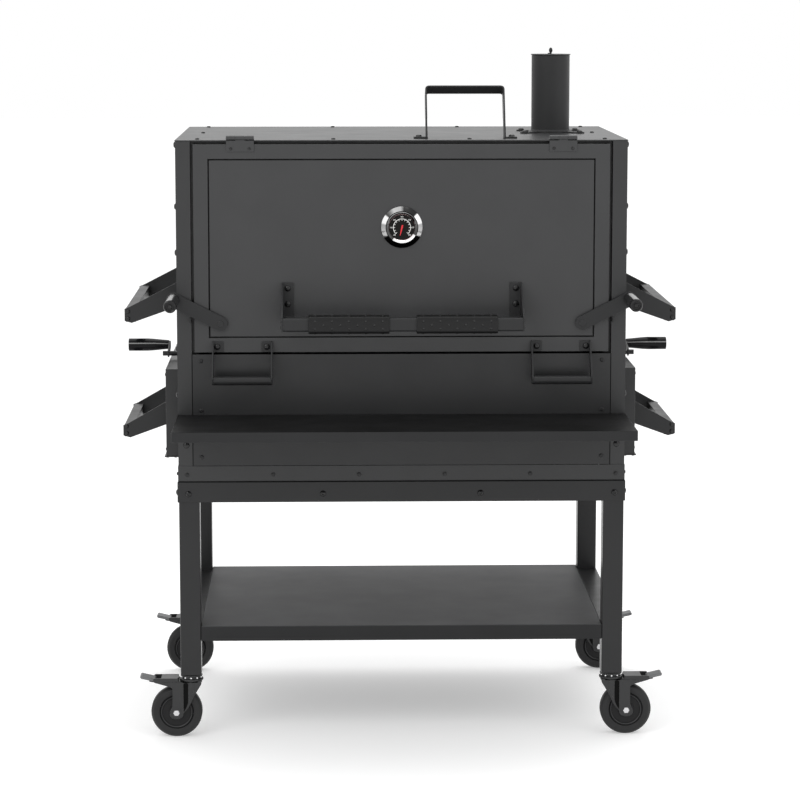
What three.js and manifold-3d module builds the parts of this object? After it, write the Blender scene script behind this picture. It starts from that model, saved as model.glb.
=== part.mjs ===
// Cabinet charcoal smoker on a caster cart. Millimetres, +Z up, front towards -Y.
// Every mesh is one separate piece; the origin is on the floor, under the middle of the outline.
import * as THREE from 'three';
import { mergeVertices } from 'three/addons/utils/BufferGeometryUtils.js';
import Module from 'manifold-3d';

const wasm = await Module();
wasm.setup();

// ---------------------------------------------------------------- driving sizes
const GAP = 0.3;                 // between pieces that touch
const BODY_WIDTH = 880;          // over the corner posts, X
const BODY_DEPTH = 600;          // over the corner posts, Y
const ROOF_TOP = 1189.5;
const BASE_TOP = 517.5;          // top of the cart's base rail
const SKIRT_HEIGHT = 31.5;       // angle round the foot of the body
const POST_FACE = 28.5;          // width of a corner post's face
const SHEET = 2;                 // body sheet steel
const HEADER_DROP = 26;          // angle under the roof

const DOOR_TOP = 1181.7;
const DOOR_BOTTOM = 775;
const DOOR_GAP = 5.5;            // door edge to post
const DOOR_DEPTH = 20;
const DOOR_PROUD = 2;            // outer face in front of the posts
const DOOR_BORDER = 28.5;        // raised border round the sunk panel
const DOOR_SKIN = 3.2;
const LATCH_INSET = 57.1;        // latch pivot from the inner edge of the post
const PANEL_SUNK = 1.4;

const HINGE_SPREAD = 314;        // centre of each hinge from the middle
const HINGE_WIDTH = 54;
const HINGE_PIN_R = 1.9;
const HINGE_HOLE_CLEARANCE = 0.45;
const HINGE_WALL = 2.1;
const HINGE_LEAF = 2;

const LEG_TUBE = 41;
const LEG_WALL = 2;
const BASE_RAIL_HEIGHT = 40.5;
const BASE_RAIL_SHEET = 2.2;
const LOWER_SHELF_TOP = 227;
const LOWER_SHELF_LIP = 30;

const WHEEL_DIAMETER = 102;
const WHEEL_WIDTH = 30;
const FORK_CLEARANCE = 2.5;      // wheel to fork cheek
const FORK_SHEET = 2.5;
const AXLE_HEAD = 5;
const TYRE_THICKNESS = 18;
const CASTER_TRAIL = 29.8;
const CROWN_CLEARANCE = 10;      // wheel top to crown plate
const CROWN_SHEET = 3;
const RACE_HEIGHT = 12;
const STEM_R = 6;
const STEM_CLEARANCE = 0.6;
const AXLE_R = 4;
const AXLE_CLEARANCE = 0.4;

const SHELF_TOP = 651.5;
const SHELF_REACH = 230;
const SHELF_LIP = 19.5;

const SHAFT_Y = -62;             // crank shaft
const SHAFT_Z = 744;
const SHAFT_R = 5;
const SHAFT_CLEARANCE = 0.6;
const CRANK_REACH = 59;
const CRANK_RISE = 11;
const CRANK_GRIP_LENGTH = 83;
const CRANK_GRIP_R = 12.9;
const GEAR_MODULE = 2;
const GEAR_TEETH = 12;
const GEAR_BACKLASH = 0.5;
const GEAR_WIDTH = 8;

const DRAWER_MARGIN = 63;        // corner of the body to the drawer's front
const HATCH_BORDER = 10;         // drawer front round its opening
const TRAY_INSET = 12;           // tray narrower than the front, each side
const TRAY_REST = 2.2;           // rest under the tray from its far end
const DRAWER_BOTTOM = 560;
const DRAWER_TOP = 734;
const DRAWER_PROUD = 27;
const TRAY_HEIGHT = 86;
const TRAY_LENGTH = 370;
const TRAY_WALL = 1.6;

const GRATE_BOTTOM = 785;
const GRATE_BAR = 12;
const GRATE_ROD = 5;
const GRATE_RODS = 13;

const CHIMNEY_X = 313.6;
const CHIMNEY_Y = 20;
const CHIMNEY_R = 39;
const CHIMNEY_WALL = 2;
const CHIMNEY_TOP = 1347;
const EAR_REACH = 88;            // middle of the chimney to the end of each foot ear

// ---------------------------------------------------------------- values that follow
const halfW = BODY_WIDTH / 2;
const halfD = BODY_DEPTH / 2;
const shelfFront = -halfD - SHELF_REACH;
const bodyBottom = BASE_TOP + GAP;
const roofUnder = ROOF_TOP - 2.2;
const wheelR = WHEEL_DIAMETER / 2;
const crownBottom = WHEEL_DIAMETER + CROWN_CLEARANCE;
const legBottom = crownBottom + CROWN_SHEET + RACE_HEIGHT + GAP;
const legCentre = { x: halfW - LEG_TUBE / 2, y: halfD - LEG_TUBE / 2 };
const plateHalf = WHEEL_WIDTH / 2 + FORK_CLEARANCE;
const plateOuter = plateHalf + FORK_SHEET;
const backEdge = legCentre.y + plateOuter + AXLE_HEAD;
const originY = (shelfFront + backEdge) / 2;
const doorHalf = halfW - POST_FACE - DOOR_GAP;
const doorFace = -halfD - DOOR_PROUD;
const hingeHoleR = HINGE_PIN_R + HINGE_HOLE_CLEARANCE;
const knuckleR = hingeHoleR + HINGE_WALL;
const hinge = { y: -halfD - 3, z: ROOF_TOP + knuckleR };
const pitchR = GEAR_MODULE * GEAR_TEETH / 2;
const rackY = SHAFT_Y + pitchR;
const grateTravel = 2 * Math.PI * pitchR;
const rackBottom = SHAFT_Z - grateTravel - 8;
const drawerHalf = halfD - DRAWER_MARGIN;
const trayLow = DRAWER_BOTTOM + 6;
const trayTop = trayLow + TRAY_HEIGHT;
const panelInner = halfW - SHEET - 2.8;      // inner face of the side panels
const frontInner = panelInner + SHEET + 2 * GAP;
const trayFar = frontInner - TRAY_LENGTH;
const gearX = [14, panelInner - 11];         // near ends of each shaft's two pinions

// ---------------------------------------------------------------- finishes
const finish = (name, color, roughness, metalness) =>
  Object.assign(new THREE.MeshStandardMaterial({ color, roughness, metalness }), { name });
const coat = finish('charcoal powder coat', 0x45474a, 0.5, 0.3);
const coatDark = finish('dark powder coat', 0x36383a, 0.5, 0.3);
const blackCoat = finish('black powder coat', 0x232426, 0.55, 0.2);
const rubber = finish('grey-black tyre', 0x2a2b2c, 0.8, 0);
const plasticBlack = finish('gloss black plastic', 0x101112, 0.25, 0);
const plasticGrey = finish('grey plastic', 0x55585a, 0.6, 0);
const chrome = finish('bright chrome', 0xc9ccd0, 0.15, 1);
const castIron = finish('porcelain-coated iron', 0x1c1c1d, 0.6, 0.4);
const zinc = finish('zinc steel', 0x9b9ea2, 0.35, 1);

// ---------------------------------------------------------------- making solids
// Corners are set on a fine grid, so that faces meant to be level with each other are exactly level.
const GRID = 256;                // steps per millimetre

function solid(geometry) {
  const plain = geometry.clone();
  plain.deleteAttribute('normal');
  plain.deleteAttribute('uv');
  const corners = plain.attributes.position.array;
  corners.forEach((value, i) => { corners[i] = Math.round(value * GRID) / GRID; });
  const merged = mergeVertices(plain, 1e-4);
  return new wasm.Manifold(new wasm.Mesh({
    numProp: 3,
    vertProperties: new Float32Array(merged.attributes.position.array),
    triVerts: new Uint32Array(merged.index.array),
  }));
}

// Joining leaves spare corners on flat faces; simplifying takes them out.
function geometryOf(body) {
  const mesh = body.asOriginal().simplify(1 / GRID).getMesh();
  const geometry = new THREE.BufferGeometry();
  geometry.setAttribute('position', new THREE.BufferAttribute(mesh.vertProperties, 3));
  geometry.setIndex(new THREE.BufferAttribute(mesh.triVerts, 1));
  return geometry;
}

const join = (...pieces) => pieces.flat().reduce((whole, piece) => whole.add(piece));
const cut = (body, ...tools) => tools.flat().reduce((rest, tool) => rest.subtract(tool), body);

// A box between two corners.
function box(x, y, z) {
  const geometry = new THREE.BoxGeometry(x[1] - x[0], y[1] - y[0], z[1] - z[0]);
  geometry.translate((x[0] + x[1]) / 2, (y[0] + y[1]) / 2, (z[0] + z[1]) / 2);
  return solid(geometry);
}

// Turns geometry made along +Z so that it runs along another axis.
const ALONG = {
  x: new THREE.Matrix4().makeBasis(
    new THREE.Vector3(0, 1, 0), new THREE.Vector3(0, 0, 1), new THREE.Vector3(1, 0, 0)),
  y: new THREE.Matrix4().makeBasis(
    new THREE.Vector3(0, 0, 1), new THREE.Vector3(1, 0, 0), new THREE.Vector3(0, 1, 0)),
  z: new THREE.Matrix4(),
};

// An outline pushed along an axis: its points are (y, z) for x, (z, x) for y, (x, y) for z.
function prism(shape, axis, from, to, curveSegments = 6) {
  const geometry = new THREE.ExtrudeGeometry(shape, { depth: to - from, bevelEnabled: false, curveSegments });
  geometry.translate(0, 0, from);
  geometry.applyMatrix4(ALONG[axis]);
  return solid(geometry);
}

const outline = (points) => new THREE.Shape(points.map(([a, b]) => new THREE.Vector2(a, b)));

function roundedRect(width, height, radius) {
  const [w, h] = [width / 2 - radius, height / 2 - radius];
  const shape = new THREE.Shape();
  shape.absarc(w, h, radius, 0, Math.PI / 2);
  shape.absarc(-w, h, radius, Math.PI / 2, Math.PI);
  shape.absarc(-w, -h, radius, Math.PI, 1.5 * Math.PI);
  shape.absarc(w, -h, radius, 1.5 * Math.PI, 2 * Math.PI);
  return shape;
}

// A turned piece: profile points are (radius, place along the axis).
function turned(profile, axis, centre, segments = 24) {
  const geometry = new THREE.LatheGeometry(profile.map(([r, z]) => new THREE.Vector2(r, z)), segments);
  geometry.rotateX(Math.PI / 2);
  geometry.applyMatrix4(ALONG[axis]);
  geometry.translate(...centre);
  return solid(geometry);
}

const rod = (radius, axis, from, to, centre, segments = 20) =>
  turned([[0, from], [radius, from], [radius, to], [0, to]], axis, centre, segments);
const ring = (inner, outer, axis, from, to, centre, segments = 24) =>
  turned([[inner, from], [outer, from], [outer, to], [inner, to], [inner, from]], axis, centre, segments);

// ---------------------------------------------------------------- the assembly
const smoker = new THREE.Group();
const frameGroup = new THREE.Group();
frameGroup.position.y = -originY;
smoker.add(frameGroup);

// side -1 mirrors a piece that was made for the right-hand side.
function place(name, body, material, side = 1) {
  const geometry = geometryOf(body);
  if (side < 0) {
    geometry.scale(-1, 1, 1);
    const index = geometry.index.array;
    for (let i = 0; i < index.length; i += 3) [index[i], index[i + 1]] = [index[i + 1], index[i]];
  }
  geometry.computeVertexNormals();
  const mesh = new THREE.Mesh(geometry, material);
  mesh.name = name;
  frameGroup.add(mesh);
}

const SIDES = [['left', -1], ['right', 1]];

// ---------------------------------------------------------------- cart
function legFrame() {
  const top = BASE_TOP - BASE_RAIL_SHEET - GAP;
  const tube = (y) => prism(roundedRect(LEG_TUBE, LEG_TUBE, 3), 'z', legBottom, top, 2)
    .translate([legCentre.x, y, 0]);
  const bore = LEG_TUBE - 2 * LEG_WALL;
  const railZ = LOWER_SHELF_TOP - LEG_TUBE / 2;
  const inside = legCentre.y - LEG_TUBE / 2;
  const rail = (size, reach) => box([legCentre.x - size / 2, legCentre.x + size / 2],
    [-reach, reach], [railZ - size / 2, railZ + size / 2]);
  const outer = [-1, 1].map((s) => tube(s * legCentre.y));
  const inner = [-1, 1].map((s) => box([legCentre.x - bore / 2, legCentre.x + bore / 2],
    [s * legCentre.y - bore / 2, s * legCentre.y + bore / 2], [legBottom + 4, top + 5]));
  const holes = [-1, 1].map((s) => rod(STEM_R + STEM_CLEARANCE, 'z', legBottom - 1, legBottom + 6,
    [legCentre.x, s * legCentre.y, 0], 12));
  return cut(join(outer, rail(LEG_TUBE, inside + LEG_WALL / 2)), inner, holes,
    rail(bore, inside + LEG_WALL + 1));
}
for (const [name, side] of SIDES) place(`${name}_leg_frame`, legFrame(), coat, side);

function lowerShelf() {
  const x = halfW - LEG_TUBE - GAP;
  const pan = box([-x, x], [-halfD, halfD], [LOWER_SHELF_TOP - LOWER_SHELF_LIP, LOWER_SHELF_TOP]);
  const under = box([-x + SHEET, x - SHEET], [-halfD + SHEET, halfD - SHEET],
    [LOWER_SHELF_TOP - LOWER_SHELF_LIP - 1, LOWER_SHELF_TOP - SHEET]);
  return cut(pan, under);
}
place('bottom_shelf', lowerShelf(), coat);

// A square ring of angle: an upright skirt and a flange turned inwards at one end.
function angleRing(outX, outY, low, high, sheet, flange, flangeAtTop) {
  const solidRing = box([-outX, outX], [-outY, outY], [low, high]);
  const inside = box([-outX + sheet, outX - sheet], [-outY + sheet, outY - sheet],
    flangeAtTop ? [low - 1, high - sheet] : [low + sheet, high + 1]);
  const through = box([-outX + flange, outX - flange], [-outY + flange, outY - flange], [low - 1, high + 1]);
  return cut(solidRing, inside, through);
}
place('base_rail_frame', angleRing(halfW + GAP + BASE_RAIL_SHEET, halfD + GAP + BASE_RAIL_SHEET,
  BASE_TOP - BASE_RAIL_HEIGHT, BASE_TOP, BASE_RAIL_SHEET, 34, true), coat);

// ---------------------------------------------------------------- casters
// Each is made at its swivel axis, trailing towards +X, then moved to its leg.

function casterFork() {
  const crownTop = crownBottom + CROWN_SHEET;
  const crown = box([-23, 30], [-plateOuter, plateOuter], [crownBottom, crownTop]);
  const cheek = outline([[crownTop, -23], [crownTop, 30], [crownBottom - 14, 33], [wheelR, CASTER_TRAIL + 13],
    [wheelR - 13, CASTER_TRAIL + 8], [wheelR - 13, CASTER_TRAIL - 8], [wheelR, CASTER_TRAIL - 13],
    [crownBottom - 18, -16]]);
  const cheeks = [-1, 1].map((s) => prism(cheek, 'y',
    s < 0 ? -plateOuter : plateHalf, s < 0 ? -plateHalf : plateOuter));
  const race = turned([[0, crownTop - 1], [23, crownTop - 1], [20, crownTop + 6],
    [19, crownTop + RACE_HEIGHT], [STEM_R, crownTop + RACE_HEIGHT],
    [STEM_R, crownTop + RACE_HEIGHT + 30], [0, crownTop + RACE_HEIGHT + 30]], 'z', [0, 0, 0], 16);
  const axle = rod(AXLE_R, 'y', -plateOuter - AXLE_HEAD, plateOuter + AXLE_HEAD,
    [CASTER_TRAIL, 0, wheelR]);
  const centre = [CASTER_TRAIL, 0, wheelR];
  const heads = [
    rod(8, 'y', plateOuter - 0.5, plateOuter + AXLE_HEAD, centre, 6),
    rod(8, 'y', -plateOuter - AXLE_HEAD, -plateOuter + 0.5, centre, 6),
  ];
  return join(crown, cheeks, race, axle, heads);
}

function casterTyre() {
  const [half, inner] = [WHEEL_WIDTH / 2, wheelR - TYRE_THICKNESS];
  return turned([[inner, -half + 2], [wheelR - 5, -half], [wheelR, -half + 8], [wheelR, half - 8],
    [wheelR - 5, half], [inner, half - 2], [inner, -half + 2]], 'y', [CASTER_TRAIL, 0, wheelR], 32);
}

function casterCore() {
  const [half, outer] = [WHEEL_WIDTH / 2, wheelR - TYRE_THICKNESS - GAP];
  const bore = AXLE_R + AXLE_CLEARANCE;
  return turned([[bore, -half - 1.5], [15, -half - 1.5], [outer, -half + 4], [outer, half - 4],
    [15, half + 1.5], [bore, half + 1.5], [bore, -half - 1.5]], 'y', [CASTER_TRAIL, 0, wheelR], 24);
}

const pedalPivot = { x: 44, z: crownBottom + CROWN_SHEET - 5 };

function brakePedal() {
  const { x, z } = pedalPivot;
  const lever = prism(outline([[z - 6, x - 6], [z + 5, x - 6], [z + 7, x + 10], [z + 11, x + 34],
    [z + 14, x + 58.5], [z + 8, x + 58.5], [z + 3, x + 34], [z - 2, x + 12]]), 'y', -15, 15);
  const hub = rod(6, 'y', -plateHalf + 1, plateHalf - 1, [x, 0, z], 12);
  return join(lever, hub);
}

// Cheek ears carry the brake pedal's hub, between the fork's two plates.
function forkWithEars() {
  const { x, z } = pedalPivot;
  const ear = outline([[z - 7, 20], [z + 7, 20], [z + 7, x + 6], [z - 7, x + 6]]);
  const ears = [-1, 1].map((s) => prism(ear, 'y', s < 0 ? -plateOuter : plateHalf,
    s < 0 ? -plateHalf : plateOuter));
  return join(casterFork(), ears);
}

for (const [depthName, depthSide] of [['front', -1], ['rear', 1]]) {
  for (const [name, side] of SIDES) {
    const at = [legCentre.x, depthSide * legCentre.y, 0];
    const caster = `${depthName}_${name}_caster`;
    place(`${caster}_fork`, forkWithEars().translate(at), zinc, side);
    place(`${caster}_tyre`, casterTyre().translate(at), rubber, side);
    place(`${caster}_wheel_core`, casterCore().translate(at), plasticGrey, side);
    place(`${caster}_brake_pedal`, brakePedal().translate(at), plasticGrey, side);
  }
}

// ---------------------------------------------------------------- body
const stopBack = -halfD + 23;          // rear of the door stop
const keeper = { x: halfW - POST_FACE + GAP, low: 834, high: 862 };

function bodyFrame() {
  const top = roofUnder - GAP;
  const postX = [halfW - POST_FACE, halfW];
  const pieces = [];
  for (const s of [-1, 1]) {
    const xs = (a, b) => (s > 0 ? [a, b] : [-b, -a]);
    pieces.push(
      box(xs(...postX), [-halfD, -halfD + 2.5], [bodyBottom, top]),
      box(xs(halfW - 2.5, halfW), [-halfD, -halfD + POST_FACE], [bodyBottom, top]),
      box(xs(postX[0], postX[0] + 2.5), [-halfD, stopBack], [bodyBottom, top]),
      box(xs(postX[0] - 15.5, postX[0] + 2.5), [stopBack - 2.5, stopBack], [bodyBottom, top]),
      box(xs(...postX), [halfD - 2.5, halfD], [bodyBottom, top]),
      box(xs(halfW - 2.5, halfW), [halfD - POST_FACE, halfD], [bodyBottom, top]),
      box(xs(halfW - 42, halfW), [stopBack - 2.5, halfD], [top - 2, top]),
      box(xs(keeper.x, keeper.x + 2.5), [-halfD - 5.2, -halfD + 1], [keeper.low, keeper.high]),
    );
  }
  pieces.push(
    box([-halfW + 5, halfW - 5], [stopBack - 2.5, stopBack], [top - HEADER_DROP, top]),
    box([-halfW + 5, halfW - 5], [stopBack - 2.5, stopBack + 30], [top - 2, top]),
    box([-halfW + 5, halfW - 5], [halfD - 42, halfD], [top - 2, top]),
    angleRing(halfW + 1, halfD + 1, bodyBottom, bodyBottom + SKIRT_HEIGHT, 2.5, 34, false),
  );
  return join(pieces);
}
place('body_frame', bodyFrame(), coat);

function roof() {
  const sheet = box([-halfW - 1, halfW + 1], [-halfD - 1, halfD + 1], [roofUnder, ROOF_TOP]);
  const flue = rod(CHIMNEY_R - CHIMNEY_WALL, 'z', roofUnder - 1, ROOF_TOP + 1, [CHIMNEY_X, CHIMNEY_Y, 0], 32);
  return cut(sheet, flue);
}
place('roof', roof(), coat);

const panelTop = roofUnder - GAP - 2 - GAP;
const floorZ = bodyBottom + 2.5 + GAP;

place('back_panel', box([-panelInner + GAP, panelInner - GAP], [halfD - 2.5 - GAP - SHEET, halfD - 2.5 - GAP],
  [floorZ, panelTop]), coat);

function sidePanel() {
  const sheet = box([panelInner, panelInner + SHEET], [stopBack + GAP, halfD - 2.5 - SHEET - 2 * GAP],
    [floorZ, panelTop]);
  const hatch = box([panelInner - 1, panelInner + SHEET + 1],
    [-drawerHalf + HATCH_BORDER, drawerHalf - HATCH_BORDER], [DRAWER_BOTTOM + 4, trayTop + 3]);
  const bearing = rod(SHAFT_R + SHAFT_CLEARANCE, 'x', panelInner - 1, panelInner + SHEET + 1,
    [0, SHAFT_Y, SHAFT_Z]);
  const guide = join(
    box([panelInner - 12, panelInner + 1], [rackY + 10.6, rackY + 13], [rackBottom - 2, GRATE_BOTTOM - 20]),
    box([panelInner - 2, panelInner + 1], [rackY + 10.6, rackY + 26], [rackBottom - 2, GRATE_BOTTOM - 20]));
  return cut(join(sheet, guide), hatch, bearing);
}
for (const [name, side] of SIDES) place(`side_panel_${name}`, sidePanel(), coat, side);

function frontPanel() {
  const x = halfW - POST_FACE - GAP;
  const low = bodyBottom + SKIRT_HEIGHT + GAP;
  const high = DOOR_BOTTOM - 4;
  const pan = box([-x, x], [-halfD, -halfD + 19], [low, high]);
  return cut(pan, box([-x + SHEET, x - SHEET], [-halfD + SHEET, -halfD + 20], [low - 1, high - SHEET]));
}
place('front_panel', frontPanel(), coatDark);

function floorPan() {
  const deck = box([-halfW + 36, halfW - 36], [-halfD + 36, halfD - 36], [floorZ - 2.5, floorZ + SHEET]);
  const post = box([-10, 10], [SHAFT_Y - 14, rackY - 5], [floorZ, GRATE_BOTTOM - 20]);
  const guides = box([-10, 10], [rackY - 6, rackY + 26], [rackBottom - 2, GRATE_BOTTOM - 20]);
  const wings = box([-23, 23], [rackY + 10.6, rackY + 13], [rackBottom - 2, GRATE_BOTTOM - 20]);
  const restX = trayFar + TRAY_REST;
  const restY = drawerHalf - TRAY_INSET - 25;
  const rest = join(
    box([restX, restX + 3], [-restY, restY], [floorZ, trayLow - GAP]),
    box([restX, restX + 15], [-restY, restY], [trayLow - GAP - SHEET, trayLow - GAP]));
  const rests = [rest, rest.mirror([1, 0, 0])];
  const bearing = rod(SHAFT_R + SHAFT_CLEARANCE, 'x', -11, 11, [0, SHAFT_Y, SHAFT_Z]);
  return cut(join(deck, post, guides, wings, rests), bearing);
}
place('floor_pan', floorPan(), blackCoat);

function frontShelf() {
  const x = halfW + 1;
  const back = -halfD - 1 - GAP;
  const pan = box([-x, x], [shelfFront, back], [SHELF_TOP - SHELF_LIP, SHELF_TOP]);
  return cut(pan, box([-x + SHEET, x - SHEET], [shelfFront + SHEET, back - SHEET],
    [SHELF_TOP - SHELF_LIP - 1, SHELF_TOP - SHEET]));
}
place('front_shelf', frontShelf(), coat);

// ---------------------------------------------------------------- door
const sunkFace = doorFace + PANEL_SUNK;
const thermometerZ = 1020;
const thermometerStemR = 4;

function door() {
  const shell = box([-doorHalf, doorHalf], [doorFace, doorFace + DOOR_DEPTH], [DOOR_BOTTOM, DOOR_TOP]);
  const hollow = box([-doorHalf + SHEET, doorHalf - SHEET], [doorFace + DOOR_SKIN, doorFace + DOOR_DEPTH + 1],
    [DOOR_BOTTOM + SHEET, DOOR_TOP - SHEET]);
  const sunk = box([-doorHalf + DOOR_BORDER, doorHalf - DOOR_BORDER], [doorFace - 1, sunkFace],
    [DOOR_BOTTOM + DOOR_BORDER, DOOR_TOP - DOOR_BORDER]);
  const stemHole = rod(thermometerStemR + 1, 'y', doorFace - 1, doorFace + 10, [0, 0, thermometerZ]);
  return cut(shell, hollow, sunk, stemHole);
}
place('door', door(), coat);

function hingeLeaves(centre) {
  const third = HINGE_WIDTH / 3;
  const xs = (from, to) => [centre - HINGE_WIDTH / 2 + from, centre - HINGE_WIDTH / 2 + to];
  const at = [0, hinge.y, hinge.z];
  const roofLeaf = join(
    box(xs(0, HINGE_WIDTH), [hinge.y, hinge.y + 28], [ROOF_TOP + GAP, ROOF_TOP + GAP + HINGE_LEAF]),
    rod(knuckleR, 'x', ...xs(0, third - GAP), at, 16),
    rod(knuckleR, 'x', ...xs(2 * third + GAP, HINGE_WIDTH), at, 16));
  const pocket = box(xs(third - GAP, 2 * third + GAP), [hinge.y - 6, hinge.y + knuckleR + 1],
    [ROOF_TOP, ROOF_TOP + 12]);
  const pin = rod(HINGE_PIN_R, 'x', ...xs(1, HINGE_WIDTH - 1), at, 16);
  const doorLeaf = cut(join(
    box(xs(0, HINGE_WIDTH), [doorFace - GAP - HINGE_LEAF, doorFace - GAP], [ROOF_TOP - 22, ROOF_TOP - 1]),
    box(xs(third, 2 * third), [doorFace - GAP - HINGE_LEAF, doorFace - GAP], [ROOF_TOP - 2, hinge.z]),
    rod(knuckleR, 'x', ...xs(third, 2 * third), at, 16)),
  rod(hingeHoleR, 'x', ...xs(third - 1, 2 * third + 1), at, 16));
  return { roofLeaf: join(cut(roofLeaf, pocket), pin), doorLeaf };
}
for (const [name, side] of SIDES) {
  const { roofLeaf, doorLeaf } = hingeLeaves(HINGE_SPREAD);
  place(`hinge_roof_leaf_${name}`, roofLeaf, coat, side);
  place(`hinge_door_leaf_${name}`, doorLeaf, coat, side);
}

// ---------------------------------------------------------------- lid handle
const bar = { size: 27, y: -halfD - 83, z: 839 };
const bracketArm = { inner: 231.5, outer: 234.5 };
const barHalf = bracketArm.inner - GAP;

place('handle_bar', prism(roundedRect(bar.size, bar.size, 6), 'x', -barHalf, barHalf, 3)
  .translate([0, bar.y, bar.z]), blackCoat);

// Outlines along x are (y, z), so this one is turned from (z, y).
function sideOutline(points) {
  return outline(points.map(([z, y]) => [y, z]));
}

function handleBracket() {
  const face = sunkFace - GAP;
  const flange = box([211, bracketArm.outer], [face - 3, face], [845, 912]);
  const edge = sideOutline([[912, face], [912, face - 6], [bar.z + 15, bar.y - 13],
    [bar.z - 13.5, bar.y - 13], [bar.z - 13.5, face - 40], [845, face]]);
  const arm = prism(edge, 'x', bracketArm.inner, bracketArm.outer);
  return join(flange, arm);
}

const sleeve = { half: 78, wall: 4, centre: 104.4 };

function gripSleeve() {
  const outer = bar.size + 2 * sleeve.wall;
  const inner = bar.size + 2 * GAP;
  const tube = prism(roundedRect(outer, outer, 11), 'x', -sleeve.half, sleeve.half, 4);
  const bore = prism(roundedRect(inner, inner, 6.2), 'x', -sleeve.half - 1, sleeve.half + 1, 3);
  return cut(tube, bore).translate([sleeve.centre, bar.y, bar.z]);
}
for (const [name, side] of SIDES) {
  place(`handle_bracket_${name}`, handleBracket(), blackCoat, side);
  place(`handle_sleeve_${name}`, gripSleeve(), blackCoat, side);
}

function thermometerBody() {
  const back = -(sunkFace - GAP);      // distance of the seat in front of the body's middle
  return turned([[0, -back - 9], [29, -back - 9], [29.5, -back - 13], [31, -back - 13], [40.5, -back - 3],
    [40.5, -back], [thermometerStemR, -back], [thermometerStemR, -back + 62], [0, -back + 62]],
  'y', [0, 0, thermometerZ], 28);
}
place('thermometer', thermometerBody(), chrome);

function pullHandle() {
  const face = doorFace - GAP;
  const arm = sideOutline([[797, face], [776, face], [724 - 8, face - 28], [724 - 8, face - 46],
    [724 + 8, face - 50], [797, face - 8]]);
  const arms = [[253, 256], [368, 371]].map(([a, b]) => prism(arm, 'x', a, b));
  const flanges = [[253, 275], [349, 371]].map((x) => box(x, [face - 2.5, face], [776, 797]));
  const grip = rod(8.5, 'x', 254, 370, [0, face - 39, 724], 16);
  return join(arms, flanges, grip);
}

// ---------------------------------------------------------------- latches
const latch = {
  x: halfW - POST_FACE - LATCH_INSET, z: 832, angle: THREE.MathUtils.degToRad(27), length: 103, half: 14,
};
const latchFace = doorFace - 4;        // back of the lever
const latchTip = {
  x: latch.x + latch.length * Math.cos(latch.angle),
  z: latch.z + latch.length * Math.sin(latch.angle),
};

function latchLever() {
  const shape = new THREE.Shape();
  shape.absarc(0, 0, latch.half, Math.PI / 2, 1.5 * Math.PI);
  shape.absarc(latch.length, 0, latch.half, -Math.PI / 2, Math.PI / 2);
  const flat = new THREE.ExtrudeGeometry(shape, { depth: 3, bevelEnabled: false, curveSegments: 8 });
  flat.rotateX(Math.PI / 2);
  flat.rotateY(-latch.angle);
  flat.translate(latch.x, latchFace, latch.z);
  const stub = rod(6, 'y', latchFace - 5, sunkFace - GAP, [latch.x, 0, latch.z], 12);
  const axle = rod(4, 'y', latchFace - 118, latchFace - 1, [latchTip.x, 0, latchTip.z], 12);
  return join(solid(flat), stub, axle);
}
const latchGrip = () => ring(4.6, 12.5, 'y', latchFace - 122, latchFace - 3 - 2 * GAP,
  [latchTip.x, 0, latchTip.z], 24);

for (const [name, side] of SIDES) {
  place(`pull_handle_${name}`, pullHandle(), blackCoat, side);
  place(`latch_lever_${name}`, latchLever(), blackCoat, side);
  place(`latch_grip_${name}`, latchGrip(), blackCoat, side);
}

// ---------------------------------------------------------------- side handles
// Two arms and a channel grip between them; root is the face that the arms stand on.
function sideHandle({ root, reach, halfLength, armLow, armHigh, tipLow, tipHigh }) {
  const end = root + reach;
  const arm = [[armHigh, root], [armLow, root], [tipLow, end - 14], [tipLow + 4, end], [tipHigh - 4, end],
    [tipHigh, end - 10]];
  const arms = [-1, 1].map((s) => prism(outline(arm), 'y', s > 0 ? halfLength - 3 : -halfLength,
    s > 0 ? halfLength : -halfLength + 3));
  const tabs = [-1, 1].map((s) => box([root, root + 2.5],
    s > 0 ? [halfLength - 22, halfLength] : [-halfLength, -halfLength + 22], [armLow, armHigh]));
  const channel = cut(
    box([end - 22, end - 3], [-halfLength + 1, halfLength - 1], [tipLow + 2, tipHigh - 2]),
    box([end - 18, end], [-halfLength + 4, halfLength - 4], [tipLow + 5, tipHigh - 5]));
  return join(arms, tabs, channel);
}
const upperHandle = { root: halfW + GAP, reach: 107, halfLength: 225,
  armLow: 858, armHigh: 907, tipLow: 825, tipHigh: 857 };
const lowerHandle = { root: halfW + DRAWER_PROUD + GAP, reach: 91, halfLength: 151,
  armLow: 612, armHigh: 659, tipLow: 584, tipHigh: 613 };

// ---------------------------------------------------------------- charcoal drawers
function drawer() {
  const face = halfW + DRAWER_PROUD;
  const front = cut(
    box([frontInner, face], [-drawerHalf, drawerHalf], [DRAWER_BOTTOM, DRAWER_TOP]),
    box([frontInner - 1, face - SHEET], [-drawerHalf + SHEET, drawerHalf - SHEET],
      [trayTop + 6, DRAWER_TOP - SHEET]));
  const y = drawerHalf - TRAY_INSET;
  const tray = box([trayFar, frontInner + 1], [-y, y], [trayLow, trayTop]);
  const hollow = box([trayFar + TRAY_WALL, face - SHEET], [-y + TRAY_WALL, y - TRAY_WALL],
    [trayLow + TRAY_WALL, trayTop + 8]);
  return cut(join(front, tray), hollow);
}

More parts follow.
